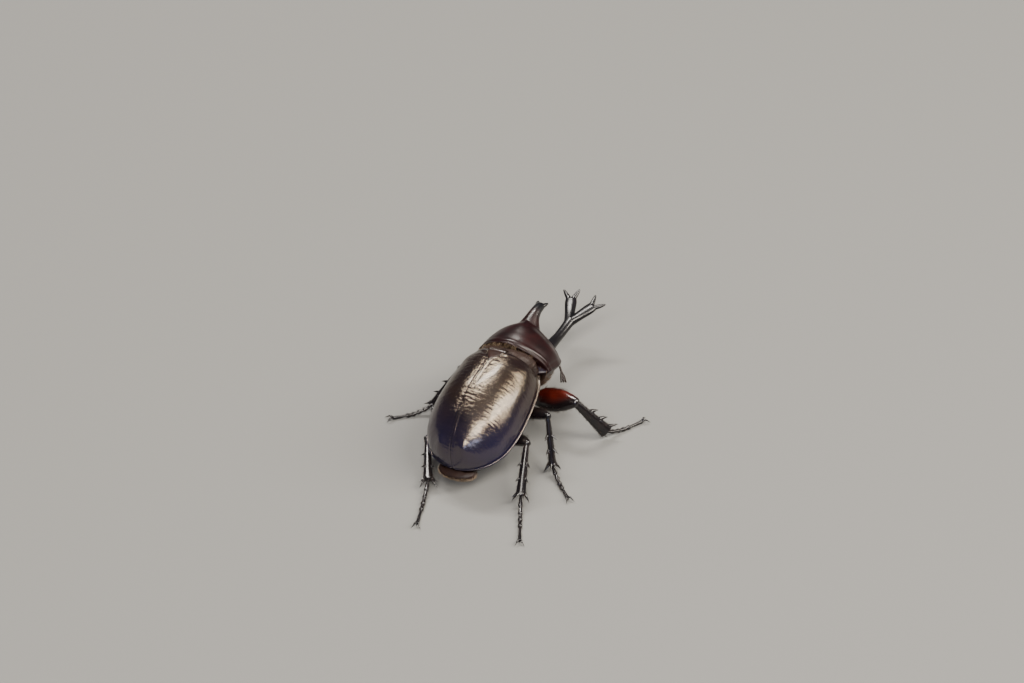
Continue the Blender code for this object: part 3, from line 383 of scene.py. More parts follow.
# %% Lofts and tubes
def loft(rings):
    """A closed mesh in millimetres over closed rings, its ends capped."""
    rows, columns = len(rings), len(rings[0])
    points = [Vector(point) for ring in rings for point in ring]
    faces = [tuple(range(columns)), tuple(range((rows - 1) * columns, rows * columns))]
    for r in range(rows - 1):
        for c in range(columns):
            d = (c + 1) % columns
            faces.append((r * columns + c, r * columns + d, (r + 1) * columns + d, (r + 1) * columns + c))
    mesh = bpy.data.meshes.new("loft")
    mesh.from_pydata(points, [], faces)
    bm = bmesh.new()
    bm.from_mesh(mesh)
    bmesh.ops.recalc_face_normals(bm, faces=bm.faces)
    bm.to_mesh(mesh)
    bm.free()
    return mesh


def tube(path, sizes, sides=20, steps=5, tips=(0.7, 0.7), across=(1.0, 0.0, 0.0)):
    """A rounded rod along a path, with a (half width, half thickness) at each point."""
    rows = spline([(*point, *size) for point, size in zip(path, sizes)], steps)
    points = [Vector(row[:3]) for row in rows]
    rings = []
    for i, row in enumerate(rows):
        tangent = (points[min(i + 1, len(rows) - 1)] - points[max(i - 1, 0)]).normalized()
        wide = (Vector(across) - tangent * tangent.dot(Vector(across))).normalized()
        thick = wide.cross(tangent)
        ends = [(0.0, 1.0)]
        if i == 0:
            ends = [(-tips[0] * math.cos(a), math.sin(a)) for a in (0.12, 0.5, 1.0)] + ends
        if i == len(rows) - 1:
            ends += [(tips[1] * math.cos(a), math.sin(a)) for a in (1.0, 0.5, 0.12)]
        for ahead, scale in ends:
            centre = points[i] + tangent * ahead * max(row[4], 0.05)
            ring = []
            for k in range(sides):
                turn = 2.0 * math.pi * k / sides
                aside = wide * row[3] * scale * math.cos(turn)
                ring.append(centre + aside + thick * row[4] * scale * math.sin(turn))
            rings.append(ring)
    return loft(rings)


# %% Growing parts together
def as_mesh(bm, name):
    """A mesh from an edit mesh, which is freed."""
    made = bpy.data.meshes.new(name)
    bm.to_mesh(made)
    bm.free()
    return made


def joined(meshes):
    """One mesh that holds all the given ones, which are removed."""
    bm = bmesh.new()
    for mesh in meshes:
        bm.from_mesh(mesh)
        bpy.data.meshes.remove(mesh)
    return as_mesh(bm, "joined")


def finished_mesh(holder):
    """An object's mesh with its modifiers applied. The object and its old mesh are removed."""
    bpy.context.view_layer.update()
    evaluated = holder.evaluated_get(bpy.context.evaluated_depsgraph_get())
    made = bpy.data.meshes.new_from_object(evaluated)
    old = holder.data
    bpy.data.objects.remove(holder)
    bpy.data.meshes.remove(old)
    return made


def applied(mesh, modifiers, weights=None):
    """The mesh after a list of (kind, settings) modifiers, all applied at once."""
    holder = new_object("holder", mesh)
    if weights is not None:
        group = holder.vertex_groups.new(name="soft")
        for index, weight in enumerate(weights):
            group.add([index], weight, "REPLACE")
    for kind, settings in modifiers:
        modifier = holder.modifiers.new(kind.lower(), kind)
        for key, value in settings.items():
            setattr(modifier, key, value)
    return finished_mesh(holder)


def grown(meshes, voxel, smooth):
    """Overlapping closed meshes as one skin with soft creases, in millimetres."""
    remesh = ("REMESH", {"mode": "VOXEL", "voxel_size": voxel, "adaptivity": 0.0})
    return applied(joined(meshes), [remesh, ("SMOOTH", {"factor": 0.5, "iterations": smooth})])


def vertex_places(mesh):
    """Every vertex's coordinates as an array."""
    places = np.empty(len(mesh.vertices) * 3)
    mesh.vertices.foreach_get("co", places)
    return places.reshape(-1, 3)


def softened(mesh, centre, reach, steps):
    """Smooths a mesh near a point, fading with distance, to round off a root."""
    away = np.linalg.norm(vertex_places(mesh) - np.array(centre), axis=1)
    weights = np.exp(-((away / reach) ** 2))
    return applied(mesh, [("SMOOTH", {"factor": 0.5, "iterations": steps, "vertex_group": "soft"})], weights)


def parted(mesh, place, normal):
    """Two closed meshes, behind and ahead of a plane."""
    halves = []
    for behind in (True, False):
        bm = bmesh.new()
        bm.from_mesh(mesh)
        cut = bmesh.ops.bisect_plane(
            bm, geom=bm.verts[:] + bm.edges[:] + bm.faces[:], plane_co=place, plane_no=normal,
            clear_outer=behind, clear_inner=not behind,
        )
        rim = [item for item in cut["geom_cut"] if isinstance(item, bmesh.types.BMEdge)]
        bmesh.ops.contextual_create(bm, geom=rim)
        halves.append(as_mesh(bm, "half"))
    bpy.data.meshes.remove(mesh)
    return halves


# %% Putting a piece in its place
def add_piece(name, mesh, finish, nodes, where=Matrix.Identity(4), sharp=50.0):
    mesh.transform(Matrix.Scale(MM, 4) @ where)
    mesh.name = name
    mesh.materials.clear()
    mesh.materials.append(FINISH[finish])
    mesh.shade_smooth()
    mesh.set_sharp_from_angle(angle=math.radians(sharp))
    made = new_object(name, mesh)
    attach(made, "root")
    if nodes:
        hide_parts(*nodes)
    print(name, len(mesh.polygons), "faces")


def paint_shade(mesh, tones):
    """Stores a value from 0 to 1 at each point, for a finish of two colours."""
    shade = mesh.attributes.new("shade", "FLOAT", "POINT")
    shade.data.foreach_set("value", np.clip(tones, 0.0, 1.0))


def node_copy(name, where):
    """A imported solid's mesh in millimetres in a frame of its own, its doubled points merged."""
    bm = bmesh.new()
    bm.from_mesh(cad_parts[name].data)
    bmesh.ops.remove_doubles(bm, verts=bm.verts, dist=0.000002)
    made = as_mesh(bm, name)
    made.transform(where.inverted() @ Matrix.Scale(1.0 / MM, 4))
    return made


# %% [markdown]
# ## Wing cases
# Each wing case is a thin curved shell. Along the seam runs a narrow raised border, the front
# edge has a low ridge, and the outer edge ends in a round bead. A shoulder knob and a knob near
# the tip stand a little above the dome. The height of the surface is therefore a formula: a
# dome, plus a term for each of these. Sections across the body are skinned from front to tip.

# %% Wing-case shape
ELYTRA_LENGTH = 33.0
ELYTRA_HALF_WIDTH = 13.3
ELYTRA_HEIGHT = 11.8
ELYTRA_WALL = 1.0
ELYTRA_ROUNDNESS = 2.3
SUTURE_HALF_GAP = 0.05
SCUTELLUM_GAP = 0.12
# Share of the length, and share of the half width or of the height there
ELYTRA_OUTLINE = (
    (0.0, 0.74), (0.06, 0.83), (0.15, 0.90), (0.3, 0.962), (0.55, 1.0),
    (0.75, 0.925), (0.88, 0.735), (0.95, 0.5), (0.985, 0.27), (1.0, 0.05),
)
ELYTRA_PROFILE = (
    (0.0, 0.79), (0.15, 0.92), (0.4, 1.0), (0.65, 0.935), (0.8, 0.77),
    (0.9, 0.54), (0.96, 0.32), (1.0, 0.07),
)
# Distance from the seam, place along, spread and height
APICAL_KNOB = (3.6, -30.0, 1.7, 0.95)
SHOULDER_KNOB = (9.0, -3.6, 2.2, 0.6)
MARGIN_BEAD = 0.3
MARGIN_FLANGE = 0.55
SCUTELLUM_LENGTH = 4.3
SCUTELLUM_HALF_WIDTH = 2.6
WING_CASE_ROWS = 150
WING_CASE_COLUMNS = 76
WING_CASE_INNER_COLUMNS = 16
# Edges that bend more than this many degrees stay hard
WING_CASE_SHARP = 35.0


def elytra_half_width(t):
    return ELYTRA_HALF_WIDTH * curve_value(ELYTRA_OUTLINE, t)


def elytra_top(t):
    return ELYTRA_HEIGHT * curve_value(ELYTRA_PROFILE, t)


def knob(x, y, middle_x, middle_y, spread, height):
    """A low round swelling."""
    return height * math.exp(-((abs(x) - middle_x) ** 2 + (y - middle_y) ** 2) / spread**2)


def ridge(distance, middle, spread):
    """1 on a line at that distance from an edge, fading on both sides."""
    return math.exp(-(((distance - middle) / spread) ** 2))


def dome_height(x, t):
    """The plain dome over both wing cases, with its knobs, up to the flat rim along its edge."""
    y = -ELYTRA_LENGTH * t
    u = min(1.0, abs(x) / (elytra_half_width(t) - MARGIN_FLANGE * min(1.0, elytra_top(t))))
    swell = knob(x, y, *APICAL_KNOB) + knob(x, y, *SHOULDER_KNOB)
    return elytra_top(t) * max(0.0, 1.0 - u**ELYTRA_ROUNDNESS) ** 0.5 + swell * (1.0 - u**4)


def scutellum_half_width(y):
    along = min(1.0, max(0.0, -y / SCUTELLUM_LENGTH))
    return SCUTELLUM_HALF_WIDTH * (1.0 - along**1.4)


def front_border(x):
    """How far behind the neck a wing case's raised front border runs: nearer at the shoulder."""
    return 0.35 + 1.5 * max(0.0, 1.0 - abs(x) / 8.0) ** 1.5


# %% Wing-case skin
def wing_case(sign):
    """One wing case as a closed shell in the body frame."""
    rings = []
    for row in range(WING_CASE_ROWS):
        t = math.sin(0.5 * math.pi * row / (WING_CASE_ROWS - 1)) ** 1.15
        y = -ELYTRA_LENGTH * t
        half_width, top = elytra_half_width(t), elytra_top(t)
        inner_x = SUTURE_HALF_GAP
        if -y < SCUTELLUM_LENGTH:
            inner_x += scutellum_half_width(y) + SCUTELLUM_GAP
        size = min(1.0, top, half_width)
        bead = MARGIN_BEAD * size
        wall = min(ELYTRA_WALL, 0.5 * top, 0.35 * half_width)
        span = half_width - bead - inner_x
        ring = []
        for column in range(WING_CASE_COLUMNS):
            part = column / (WING_CASE_COLUMNS - 1)
            across = math.sin(0.5 * math.pi * part)
            x = inner_x + span * across
            seam = x - inner_x
            z = dome_height(x, t)
            z += size * (0.08 * ridge(seam, 0.25, 0.22) - 0.06 * ridge(seam, 0.7, 0.25))
            border = -y - front_border(x)
            z += 0.14 * ridge(border, 0.0, 0.3) - 0.12 * ridge(border, 0.8, 0.4)
            z -= 0.25 * (1.0 - part**4) / (1.0 + math.exp(min(9.0, (border + 0.45) / 0.12)))
            costa = math.sin(3.0 * math.pi * (seam - 1.2) / 9.0) if 1.2 < seam < 10.2 else 0.0
            z += 0.035 * costa * math.sin(math.pi * min(1.0, t * 1.15)) ** 2
            ring.append((sign * x, y, max(z, 0.1 * bead)))
        for turn in (150, 120, 90, 60, 30, 0, -30, -60, -90):
            a = math.radians(turn)
            ring.append((sign * (half_width - 0.3 * bead + bead * math.cos(a)), y, 0.1 + bead * math.sin(a)))
        inner_width = half_width - wall
        for column in range(WING_CASE_INNER_COLUMNS):
            across = math.cos(0.5 * math.pi * column / (WING_CASE_INNER_COLUMNS - 1))
            x = inner_x + max(0.0, inner_width - inner_x) * across
            z = (top - wall) * max(0.0, 1.0 - min(1.0, x / inner_width) ** ELYTRA_ROUNDNESS) ** 0.5
            ring.append((sign * x, y, z))
        rings.append(ring)
    return loft(rings)


for side, sign in SIDES.items():
    skin = wing_case(sign)
    across, along, _ = vertex_places(skin).T
    # A painted purple reflection grows towards the tip and down the flank
    paint_shade(skin, np.hypot(0.75 * across / ELYTRA_HALF_WIDTH, along / ELYTRA_LENGTH) ** 3.0 - 0.2)
    node = "elytron_" + side
    add_piece(
        "wing_case_" + side, skin, "bronze_shell", [node], BODY_FRAME, WING_CASE_SHARP
    )

# %% [markdown]
# ## Scutellum
# Between the roots of the wing cases sits a small three-cornered plate, with a short collar in
# front that ends in a step above the hairy neck. Its height comes from the same dome, a little
# lower, so that the wing cases seem to close over it.

# %% Scutellum skin
SCUTELLUM_ROWS = 40
# How far its collar reaches in front of the wing cases
COLLAR_LENGTH = 0.9
# From the collar's front edge to the plate's tip
SCUTELLUM_SPAN = SCUTELLUM_LENGTH + 0.75


def scutellum():
    rings = []
    for row in range(SCUTELLUM_ROWS):
        y = COLLAR_LENGTH - SCUTELLUM_SPAN * row / (SCUTELLUM_ROWS - 1)
        half_width = scutellum_half_width(y) + 0.02
        t = max(0.0, -y / ELYTRA_LENGTH)
        dip = 0.05 + 0.9 * max(0.0, y)
        ring = []
        for column in range(21):
            u = column / 10 - 1.0
            x = u * half_width
            rim = 0.12 * ridge(half_width - abs(x), 0.25, 0.2) - 0.1 * ridge(-y, 0.4, 0.3)
            ring.append((x, y, dome_height(x, t) - dip + rim))
        for u in (0.9, 0.0, -0.9):
            ring.append((u * half_width, y, dome_height(u * half_width, t) - dip - 0.8))
        rings.append(ring)
    return loft(rings)


add_piece("shield_plate", scutellum(), "dark_brown_shell", ["scutellum"], BODY_FRAME)

# %% [markdown]
# ## Shield and short horn
# The shield over the prothorax is a dome that narrows and steepens towards the head. Its hind
# edge has a double bead and its sides a single one. The short horn leans forwards from its
# crest. Shield and horn are lofts grown together, smoothed more at the horn's root, and then
# parted at a plane, so that the horn stays a piece of its own with no step at the joint.

# %% Shield shape
PRONOTUM_LENGTH = 15.6
PRONOTUM_HALF_WIDTH = 10.8
PRONOTUM_OUTLINE = ((0.0, 0.99), (0.15, 1.0), (0.38, 1.0), (0.62, 0.92), (0.85, 0.68), (1.0, 0.44))
PRONOTUM_PROFILE = ((0.0, 8.4), (0.06, 8.8), (0.25, 10.1), (0.5, 11.2), (0.64, 11.2), (0.8, 8.4), (1.0, 4.4))
PRONOTUM_ROUNDNESS = ((0.0, 1.6), (0.2, 1.75), (0.45, 1.6), (0.65, 1.35), (0.85, 1.5), (1.0, 1.8))
PRONOTUM_MARGIN = ((0.0, 1.6), (0.5, 1.0), (1.0, 0.2))
PRONOTUM_EDGE = 0.9
PRONOTUM_ROWS = 96
PRONOTUM_COLUMNS = 111
THORN_PATH = ((0.0, 9.4, 8.4), (0.0, 11.2, 10.6), (0.0, 13.0, 12.0), (0.0, 14.9, 12.7), (0.0, 15.8, 12.9))
THORN_SIZES = ((3.4, 3.0), (2.1, 2.0), (1.6, 1.45), (1.45, 1.2), (1.4, 1.0))
THORN_PRONG = 2.0
THORN_PRONG_SIZES = ((0.85, 0.7), (0.72, 0.6), (0.55, 0.45), (0.3, 0.26))
THORN_SPREAD = 24.0
# Where the horn's solid is split from the shield's, and how far ahead of that its skin is
THORN_SPLIT = 11.2
THORN_SKIN_SPLIT = 0.15
# The root that is softened, how far around it, and in how many steps
THORN_ROOT = (0.0, 10.6, 9.6)
THORN_ROOT_REACH = 3.0
THORN_ROOT_STEPS = 14
# Length over which the horn turns from maroon to black
THORN_FADE = 2.2


def shield_line(u, s):
    """Where a line across the shield runs: u from side to side, s from the hind edge forwards."""
    hind = -2.6 + 3.6 * u * u
    front = PRONOTUM_LENGTH - 1.1 + 1.1 * u * u
    return hind + (front - hind) * s


def shield_loft():
    rings = []
    for row in range(PRONOTUM_ROWS):
        s = row / (PRONOTUM_ROWS - 1)
        power = curve_value(PRONOTUM_ROUNDNESS, s)
        half_width = PRONOTUM_HALF_WIDTH * curve_value(PRONOTUM_OUTLINE, s)
        margin = curve_value(PRONOTUM_MARGIN, s)
        crown = curve_value(PRONOTUM_PROFILE, s) - margin
        ring = []
        for column in range(PRONOTUM_COLUMNS):
            turn = math.pi * (column / (PRONOTUM_COLUMNS - 1) - 0.5)
            u = signed_power(math.sin(turn), 2.0 / power)
            y = shield_line(u, s)
            behind = y - shield_line(u, 0.0)
            bead = 0.28 * ridge(behind, 0.2, 0.3) - 0.22 * ridge(behind, 0.8, 0.25)
            bead += 0.12 * ridge(behind, 1.5, 0.45)
            side_bead = 0.22 * ridge(abs(turn), 0.5 * math.pi, 0.09) - 0.12 * ridge(abs(turn), 1.36, 0.06)
            z = margin + (crown + bead) * abs(math.cos(turn)) ** (2.0 / power)
            ring.append((u * (half_width + bead + side_bead), y, z))
        for k in range(15):
            u = 1.0 - k / 7.0
            ring.append((0.97 * u * half_width, shield_line(u, s), margin - PRONOTUM_EDGE))
        rings.append(ring)
    return loft(rings)


# %% Short horn shape
def thorn_lofts():
    """The stalk and its two blunt prongs."""
    parts = [tube(THORN_PATH, THORN_SIZES, sides=28)]
    tip = Vector(THORN_PATH[-1])
    for sign in (-1, 1):
        turn = math.radians(THORN_SPREAD)
        ahead = Vector((sign * math.sin(turn), math.cos(turn), 0.16))
        start = tip + Vector((sign * 0.4, -1.0, 0.0))
        path = [start + ahead * THORN_PRONG * f for f in (0.0, 0.55, 1.0, 1.3)]
        parts.append(tube(path, THORN_PRONG_SIZES, sides=16))
    return parts


shield_skin = grown([shield_loft()] + thorn_lofts(), voxel=0.13, smooth=2)
shield_skin = softened(shield_skin, THORN_ROOT, THORN_ROOT_REACH, THORN_ROOT_STEPS)
shield_hide = shield_skin.copy()
split = (0.0, THORN_SPLIT + THORN_SKIN_SPLIT, 0.0)
shield_part, thorn_part = parted(shield_skin, split, (0.0, 1.0, 0.0))
add_piece("shield", shield_part, "maroon_shell", ["pronotum"], PROTHORAX_FRAME)
paint_shade(thorn_part, (vertex_places(thorn_part)[:, 1] - THORN_SPLIT) / THORN_FADE)
add_piece("short_horn", thorn_part, "short_horn_shell", ["thoracic_horn"], PROTHORAX_FRAME)

# %% [markdown]
# ## Head and long horn
# The head is small and shovel-shaped, and carries the long horn: a stem that curves upwards and
# splits into two flat arms, each ending in two prongs. It is made in the same way as the shield
# and its horn. The eyes are separate beads set into the cheeks.

# %% Long horn shape
HORN_ROOT = (0.0, 16.6, -2.1)
HORN_STEM = 17.5
HORN_START_PITCH = 2.0
HORN_BEND = 26.0
HORN_WIDTHS = ((0.0, 2.5), (0.15, 2.0), (0.35, 1.65), (0.6, 1.35), (0.85, 1.4), (1.0, 1.7))
HORN_DEPTHS = ((0.0, 2.2), (0.15, 1.9), (0.35, 1.6), (0.6, 1.4), (0.85, 1.3), (1.0, 1.25))
ARM_LENGTH = 7.6
ARM_SPREAD = 24.0
ARM_LIFT = 0.25
ARM_SIZES = ((0.0, 1.4, 1.2), (0.35, 1.45, 1.0), (0.8, 1.7, 0.9), (1.0, 1.6, 0.8))
# Share of a prong's length, half width and half thickness there
PRONG_SIZES = ((0.0, 0.85, 0.65), (0.4, 0.75, 0.6), (0.75, 0.55, 0.45), (1.0, 0.28, 0.25))
PRONG_LENGTH = 4.4
PRONG_SPREAD = 30.0
PRONG_LIFT = 0.6


def horn_place(along):
    """A point of the stem's curve and its pitch there."""
    start = math.radians(HORN_START_PITCH)
    rate = math.radians(HORN_BEND) / HORN_STEM
    pitch = start + rate * along
    ahead = (math.sin(pitch) - math.sin(start)) / rate
    up = (math.cos(start) - math.cos(pitch)) / rate
    return Vector(HORN_ROOT) + Vector((0.0, ahead, up)), pitch


def horn_lofts():
    fractions = [k / 9 for k in range(10)]
    path = [horn_place(HORN_STEM * f)[0] for f in fractions]
    sizes = [(curve_value(HORN_WIDTHS, f), curve_value(HORN_DEPTHS, f)) for f in fractions]
    parts = [tube(path, sizes, sides=28)]
    fork, pitch = horn_place(HORN_STEM - 0.4)
    ahead = Vector((0.0, math.cos(pitch), math.sin(pitch)))
    lift = Vector((0.0, -math.sin(pitch), math.cos(pitch)))
    for sign in (-1, 1):
        turn = math.radians(ARM_SPREAD)
        aside = Vector((sign, 0.0, 0.0))
        out = ahead * math.cos(turn) + aside * math.sin(turn)
        across = ahead * -math.sin(turn) + aside * math.cos(turn)
        start = fork + aside * 0.3
        arm = [start + out * ARM_LENGTH * f + lift * ARM_LIFT * f**2 for f, _, _ in ARM_SIZES]
        parts.append(tube(arm, [(w, d) for _, w, d in ARM_SIZES], sides=24, tips=(0.6, 0.6), across=across))
        palm = arm[-1] - out * 0.9
        for inner in (-1, 1):
            fan = math.radians(PRONG_SPREAD)
            way = out * math.cos(fan) + across * inner * math.sin(fan)
            prong = [palm + way * PRONG_LENGTH * f + lift * PRONG_LIFT * f * f for f, _, _ in PRONG_SIZES]
            parts.append(tube(prong, [(w, d) for _, w, d in PRONG_SIZES], sides=16, across=across))
    return parts


# %% Head shape
HEAD_STATIONS = (
    (11.8, 2.4, 0.2, -4.4), (13.6, 3.3, 0.7, -5.2), (15.2, 3.7, 0.9, -5.5), (16.8, 3.6, 0.7, -5.3),
    (18.2, 3.1, -0.2, -4.9), (19.6, 2.7, -1.3, -4.5), (20.6, 2.4, -2.1, -4.1),
)
HEAD_SIDES = 44
CHEEK_PATH = ((3.1, 18.3, -1.4), (3.9, 17.2, -1.5), (4.35, 16.2, -1.8), (4.3, 15.6, -2.0))
CHEEK_SIZES = ((0.5, 0.3), (0.6, 0.3), (0.45, 0.25), (0.3, 0.2))
EYE_RADIUS = 1.4
EYE_PLACE = (3.3, 15.4, -1.9)


def head_loft():
    rings = []
    for y, half_width, top, bottom in spline(HEAD_STATIONS, 6):
        ring = []
        for k in range(HEAD_SIDES):
            turn = 2.0 * math.pi * k / HEAD_SIDES
            x = half_width * signed_power(math.cos(turn), 0.75)
            z = 0.5 * (top + bottom) + 0.5 * (top - bottom) * signed_power(math.sin(turn), 0.8)
            ring.append((x, y, z))
        rings.append(ring)
    return loft(rings)


def cheek_ridges():
    """The low ridges that run in front of the eyes."""
    return [tube(mirrored(CHEEK_PATH, sign), CHEEK_SIZES, sides=12) for sign in (-1, 1)]


def lip_edge():
    """The shovel's turned-up front edge, with two low corners."""
    path = []
    for x in (-2.3, -1.4, 0.0, 1.4, 2.3):
        path.append((x, 20.45 + 0.35 * math.cos(0.9 * x) - 0.3, -2.15 + 0.25 * abs(x) ** 1.5 / 3.0))
    return [tube(path, ((0.4, 0.4),) * 5, sides=12, across=(0.0, 1.0, 0.0))]


head_skin = grown([head_loft()] + cheek_ridges() + lip_edge(), voxel=0.11, smooth=4)
add_piece("head_shell", head_skin, "black_shell", ["head"], HEAD_FRAME)
horn_skin = grown(horn_lofts(), voxel=0.1, smooth=5)
add_piece("long_horn", horn_skin, "black_shell", ["cephalic_horn"], HEAD_FRAME)

# %% Eyes
for side, sign in SIDES.items():
    bm = bmesh.new()
    bmesh.ops.create_icosphere(bm, subdivisions=4, radius=EYE_RADIUS)
    bmesh.ops.translate(bm, vec=(sign * EYE_PLACE[0], EYE_PLACE[1], EYE_PLACE[2]), verts=bm.verts)
    eye_mesh = as_mesh(bm, "eye")
    add_piece("bead_eye_" + side, eye_mesh, "eye_black", ["eye_" + side], HEAD_FRAME)

# %% [markdown]
# ## Feelers and mouth
# Each antenna is a thin elbowed stalk with a club of three leaves at its end. The jointed palps
# hang beside the mouth. Bead-like joints are made by letting the rod's thickness swell and
# shrink along its path.

# %% Feelers
ANTENNA_PATH = (
    (3.7, 17.2, -2.9), (5.6, 17.3, -3.0), (6.5, 16.7, -3.4), (7.4, 15.9, -3.9), (8.1, 15.2, -4.4),
)
ANTENNA_RADII = (0.42, 0.36, 0.3, 0.3, 0.34)
CLUB_LENGTH = 2.9
# Share of the club's length, half width and half thickness of each of its leaves there
LEAF_SIZES = ((-0.1, 0.25, 0.18), (0.3, 0.62, 0.24), (0.65, 0.7, 0.24), (0.95, 0.45, 0.2))
PALP_PATH = ((1.7, 18.0, -5.3), (2.5, 19.3, -6.2), (2.7, 20.7, -6.6), (2.4, 21.7, -6.9))
PALP_RADII = (0.36, 0.34, 0.34, 0.3)


def jointed_rod(path, radii, joints):
    """A rod whose thickness swells at each joint."""
    rows = spline([(*point, radius) for point, radius in zip(path, radii)], 12)
    count = len(rows) - 1
    sizes = []
    for k, row in enumerate(rows):
        swell = 1.0 + 0.3 * (abs(math.sin(math.pi * joints * k / count)) - 0.6)
        sizes.append((row[3] * swell, row[3] * swell))
    return tube([row[:3] for row in rows], sizes, sides=14, steps=1)


def antenna(sign):
    path = mirrored(ANTENNA_PATH, sign)
    parts = [jointed_rod(path, ANTENNA_RADII, 6)]
    root = Vector(path[-1])
    ahead = (root - Vector(path[-2])).normalized()
    fan = Vector((0.0, 0.0, 1.0)).cross(ahead).normalized()
    for k in (-1, 0, 1):
        way = (ahead + fan * k * 0.16).normalized()
        leaf = [root + way * CLUB_LENGTH * f + fan * k * 0.25 for f, _, _ in LEAF_SIZES]
        parts.append(tube(leaf, [(w, d) for _, w, d in LEAF_SIZES], sides=18, across=ahead.cross(fan)))
    return grown(parts, voxel=0.07, smooth=2)


for side, sign in SIDES.items():
    palp = jointed_rod(mirrored(PALP_PATH, sign), PALP_RADII, 3)
    for name, skin, node in (("feeler_", antenna(sign), "antenna_"), ("palp_rod_", palp, "palp_")):
        add_piece(name + side, skin, "dark_brown_shell", [node + side], HEAD_FRAME)

# %% [markdown]
# ## Trunk
# The plates of the underside are broad plain forms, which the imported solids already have. A
# copy of each is remeshed finely and smoothed, so its flat facets become curved shell. The
# copies come from the frame in metres, so they are scaled to millimetres first and back again.

# %% Trunk plates
# Finish, frame, voxel size and smoothing steps of each plate's skin
TRUNK_PLATES = {
    "metathorax": ("dark_brown_shell", BODY_FRAME, 0.22, 6),
    "abdomen": ("dark_brown_shell", BODY_FRAME, 0.2, 3),
    "prosternum": ("dark_brown_shell", PROTHORAX_FRAME, 0.2, 6),
    "mesothorax": ("hairy_brown", BODY_FRAME, 0.2, 6),
    "pygidium": ("hairy_brown", BODY_FRAME, 0.18, 5),
    "mouthparts": ("dark_brown_shell", HEAD_FRAME, 0.1, 5),
}
for kind in ("front", "middle", "hind"):
    for side in SIDES:
        frame_of_coxa = PROTHORAX_FRAME if kind == "front" else BODY_FRAME
        TRUNK_PLATES["coxa_%s_%s" % (kind, side)] = ("dark_brown_shell", frame_of_coxa, 0.12, 6)

# Skins kept in their own frames, for the bristles that grow on them later
hides = {"shield": (shield_hide, PROTHORAX_FRAME)}
for node, (finish, where, voxel, steps) in TRUNK_PLATES.items():
    skin = grown([node_copy(node, where)], voxel, steps)
    hides[node] = (skin.copy(), where)
    add_piece(node + "_plate", skin, finish, [node], where)

# %% [markdown]
# ## Legs
# A leg is a flat thigh, a shin that widens to a ring of spines, and a foot of five joints with
# two hooked claws. Each is modelled along its own +Y and turned by the angles at which the leg
# stands, which come from the stance. Feet are pressed flat where they meet the floor.

# %% Leg sizes
FEMUR_LENGTH = {"front": 14.5, "middle": 12.5, "hind": 14.0}
TIBIA_LENGTH = {"front": 13.5, "middle": 13.8, "hind": 14.0}
TARSUS_LENGTH = {"front": 11.5, "middle": 10.6, "hind": 14.0}
FEMUR_HALF_WIDTH = {"front": 3.2, "middle": 1.9, "hind": 2.1}
TIBIA_HALF_WIDTH = {"front": 1.75, "middle": 0.95, "hind": 1.2}
FEMUR_STOUTNESS = {"front": 1.2, "middle": 1.0, "hind": 1.0}
TIBIA_STOUTNESS = {"front": 1.15, "middle": 0.9, "hind": 1.0}
FEMUR_ROLL = {"front": 52, "middle": 15, "hind": 15}
TIBIA_ROLL = {"front": 65, "middle": 0, "hind": 0}
HIP_PLACE = {"front": (5.0, 6.0, -9.6), "middle": (5.2, -6.5, -8.6), "hind": (4.2, -15.5, -8.0)}
# Share of the length, share of the half width, half thickness and rise of each section
FEMUR_STATIONS = (
    (-0.03, 0.55, 0.9, -0.1), (0.08, 0.72, 1.15, -0.1), (0.25, 0.95, 1.35, 0.0), (0.5, 1.0, 1.4, 0.1),
    (0.75, 0.85, 1.3, 0.1), (0.92, 0.62, 1.15, 0.0), (1.03, 0.42, 0.9, -0.1),
)
TIBIA_STATIONS = (
    (0.0, 0.56, 0.75, 0.0), (0.1, 0.6, 0.8, 0.1), (0.3, 0.72, 0.85, 0.15), (0.55, 0.85, 0.9, 0.15),
    (0.8, 1.0, 0.95, 0.05), (0.985, 1.15, 1.0, 0.0),
)
# Heading outwards from straight ahead and elevation of thigh and shin, then the foot's heading
LEG_ANGLES = {
    ("front", "right"): (102, 22.5, 64, -50, 30),
    ("front", "left"): (45, 5, 2, -21.8, -8),
    ("middle", "right"): (117, 29, 141, -62, 132),
    ("middle", "left"): (74, 29, 136, -51, 132),
    ("hind", "right"): (124, 30, 163, -47, 154),
    ("hind", "left"): (134, 2, 209, -11, 197),
}


def direction(sign, heading, elevation):
    """Unit vector from a heading outwards from straight ahead and an elevation."""
    turn, rise = math.radians(heading), math.radians(elevation)
    return Vector((sign * math.sin(turn) * math.cos(rise), math.cos(turn) * math.cos(rise), math.sin(rise)))


def segment_frame(place, sign, heading, elevation, roll=0.0):
    return Matrix.Translation(place) @ turn_matrix((elevation, sign * roll, -sign * heading))


# %% Thigh and shin
# Place along a front shin and length of each tooth, and how deep its root sits
FRONT_TEETH = ((0.45, 1.5), (0.7, 1.9), (0.96, 2.4))
TOOTH_DEPTH = 0.6
# Angles round a shin, in degrees, of the spines at its end and of the keels along it
RING_TURNS = (10, 63, 117, 170)
KEEL_TURNS = (25, 155, 270)


def segment_line(stations, length, half_width, stoutness):
    """The path and sizes of a thigh or shin from its table."""
    path = [(0.0, length * along, rise) for along, _, _, rise in stations]
    sizes = [(half_width * share, thick * stoutness) for _, share, thick, _ in stations]
    return path, sizes


def thigh(kind):
    line = segment_line(FEMUR_STATIONS, FEMUR_LENGTH[kind], FEMUR_HALF_WIDTH[kind], FEMUR_STOUTNESS[kind])
    return tube(*line, sides=40, steps=6)


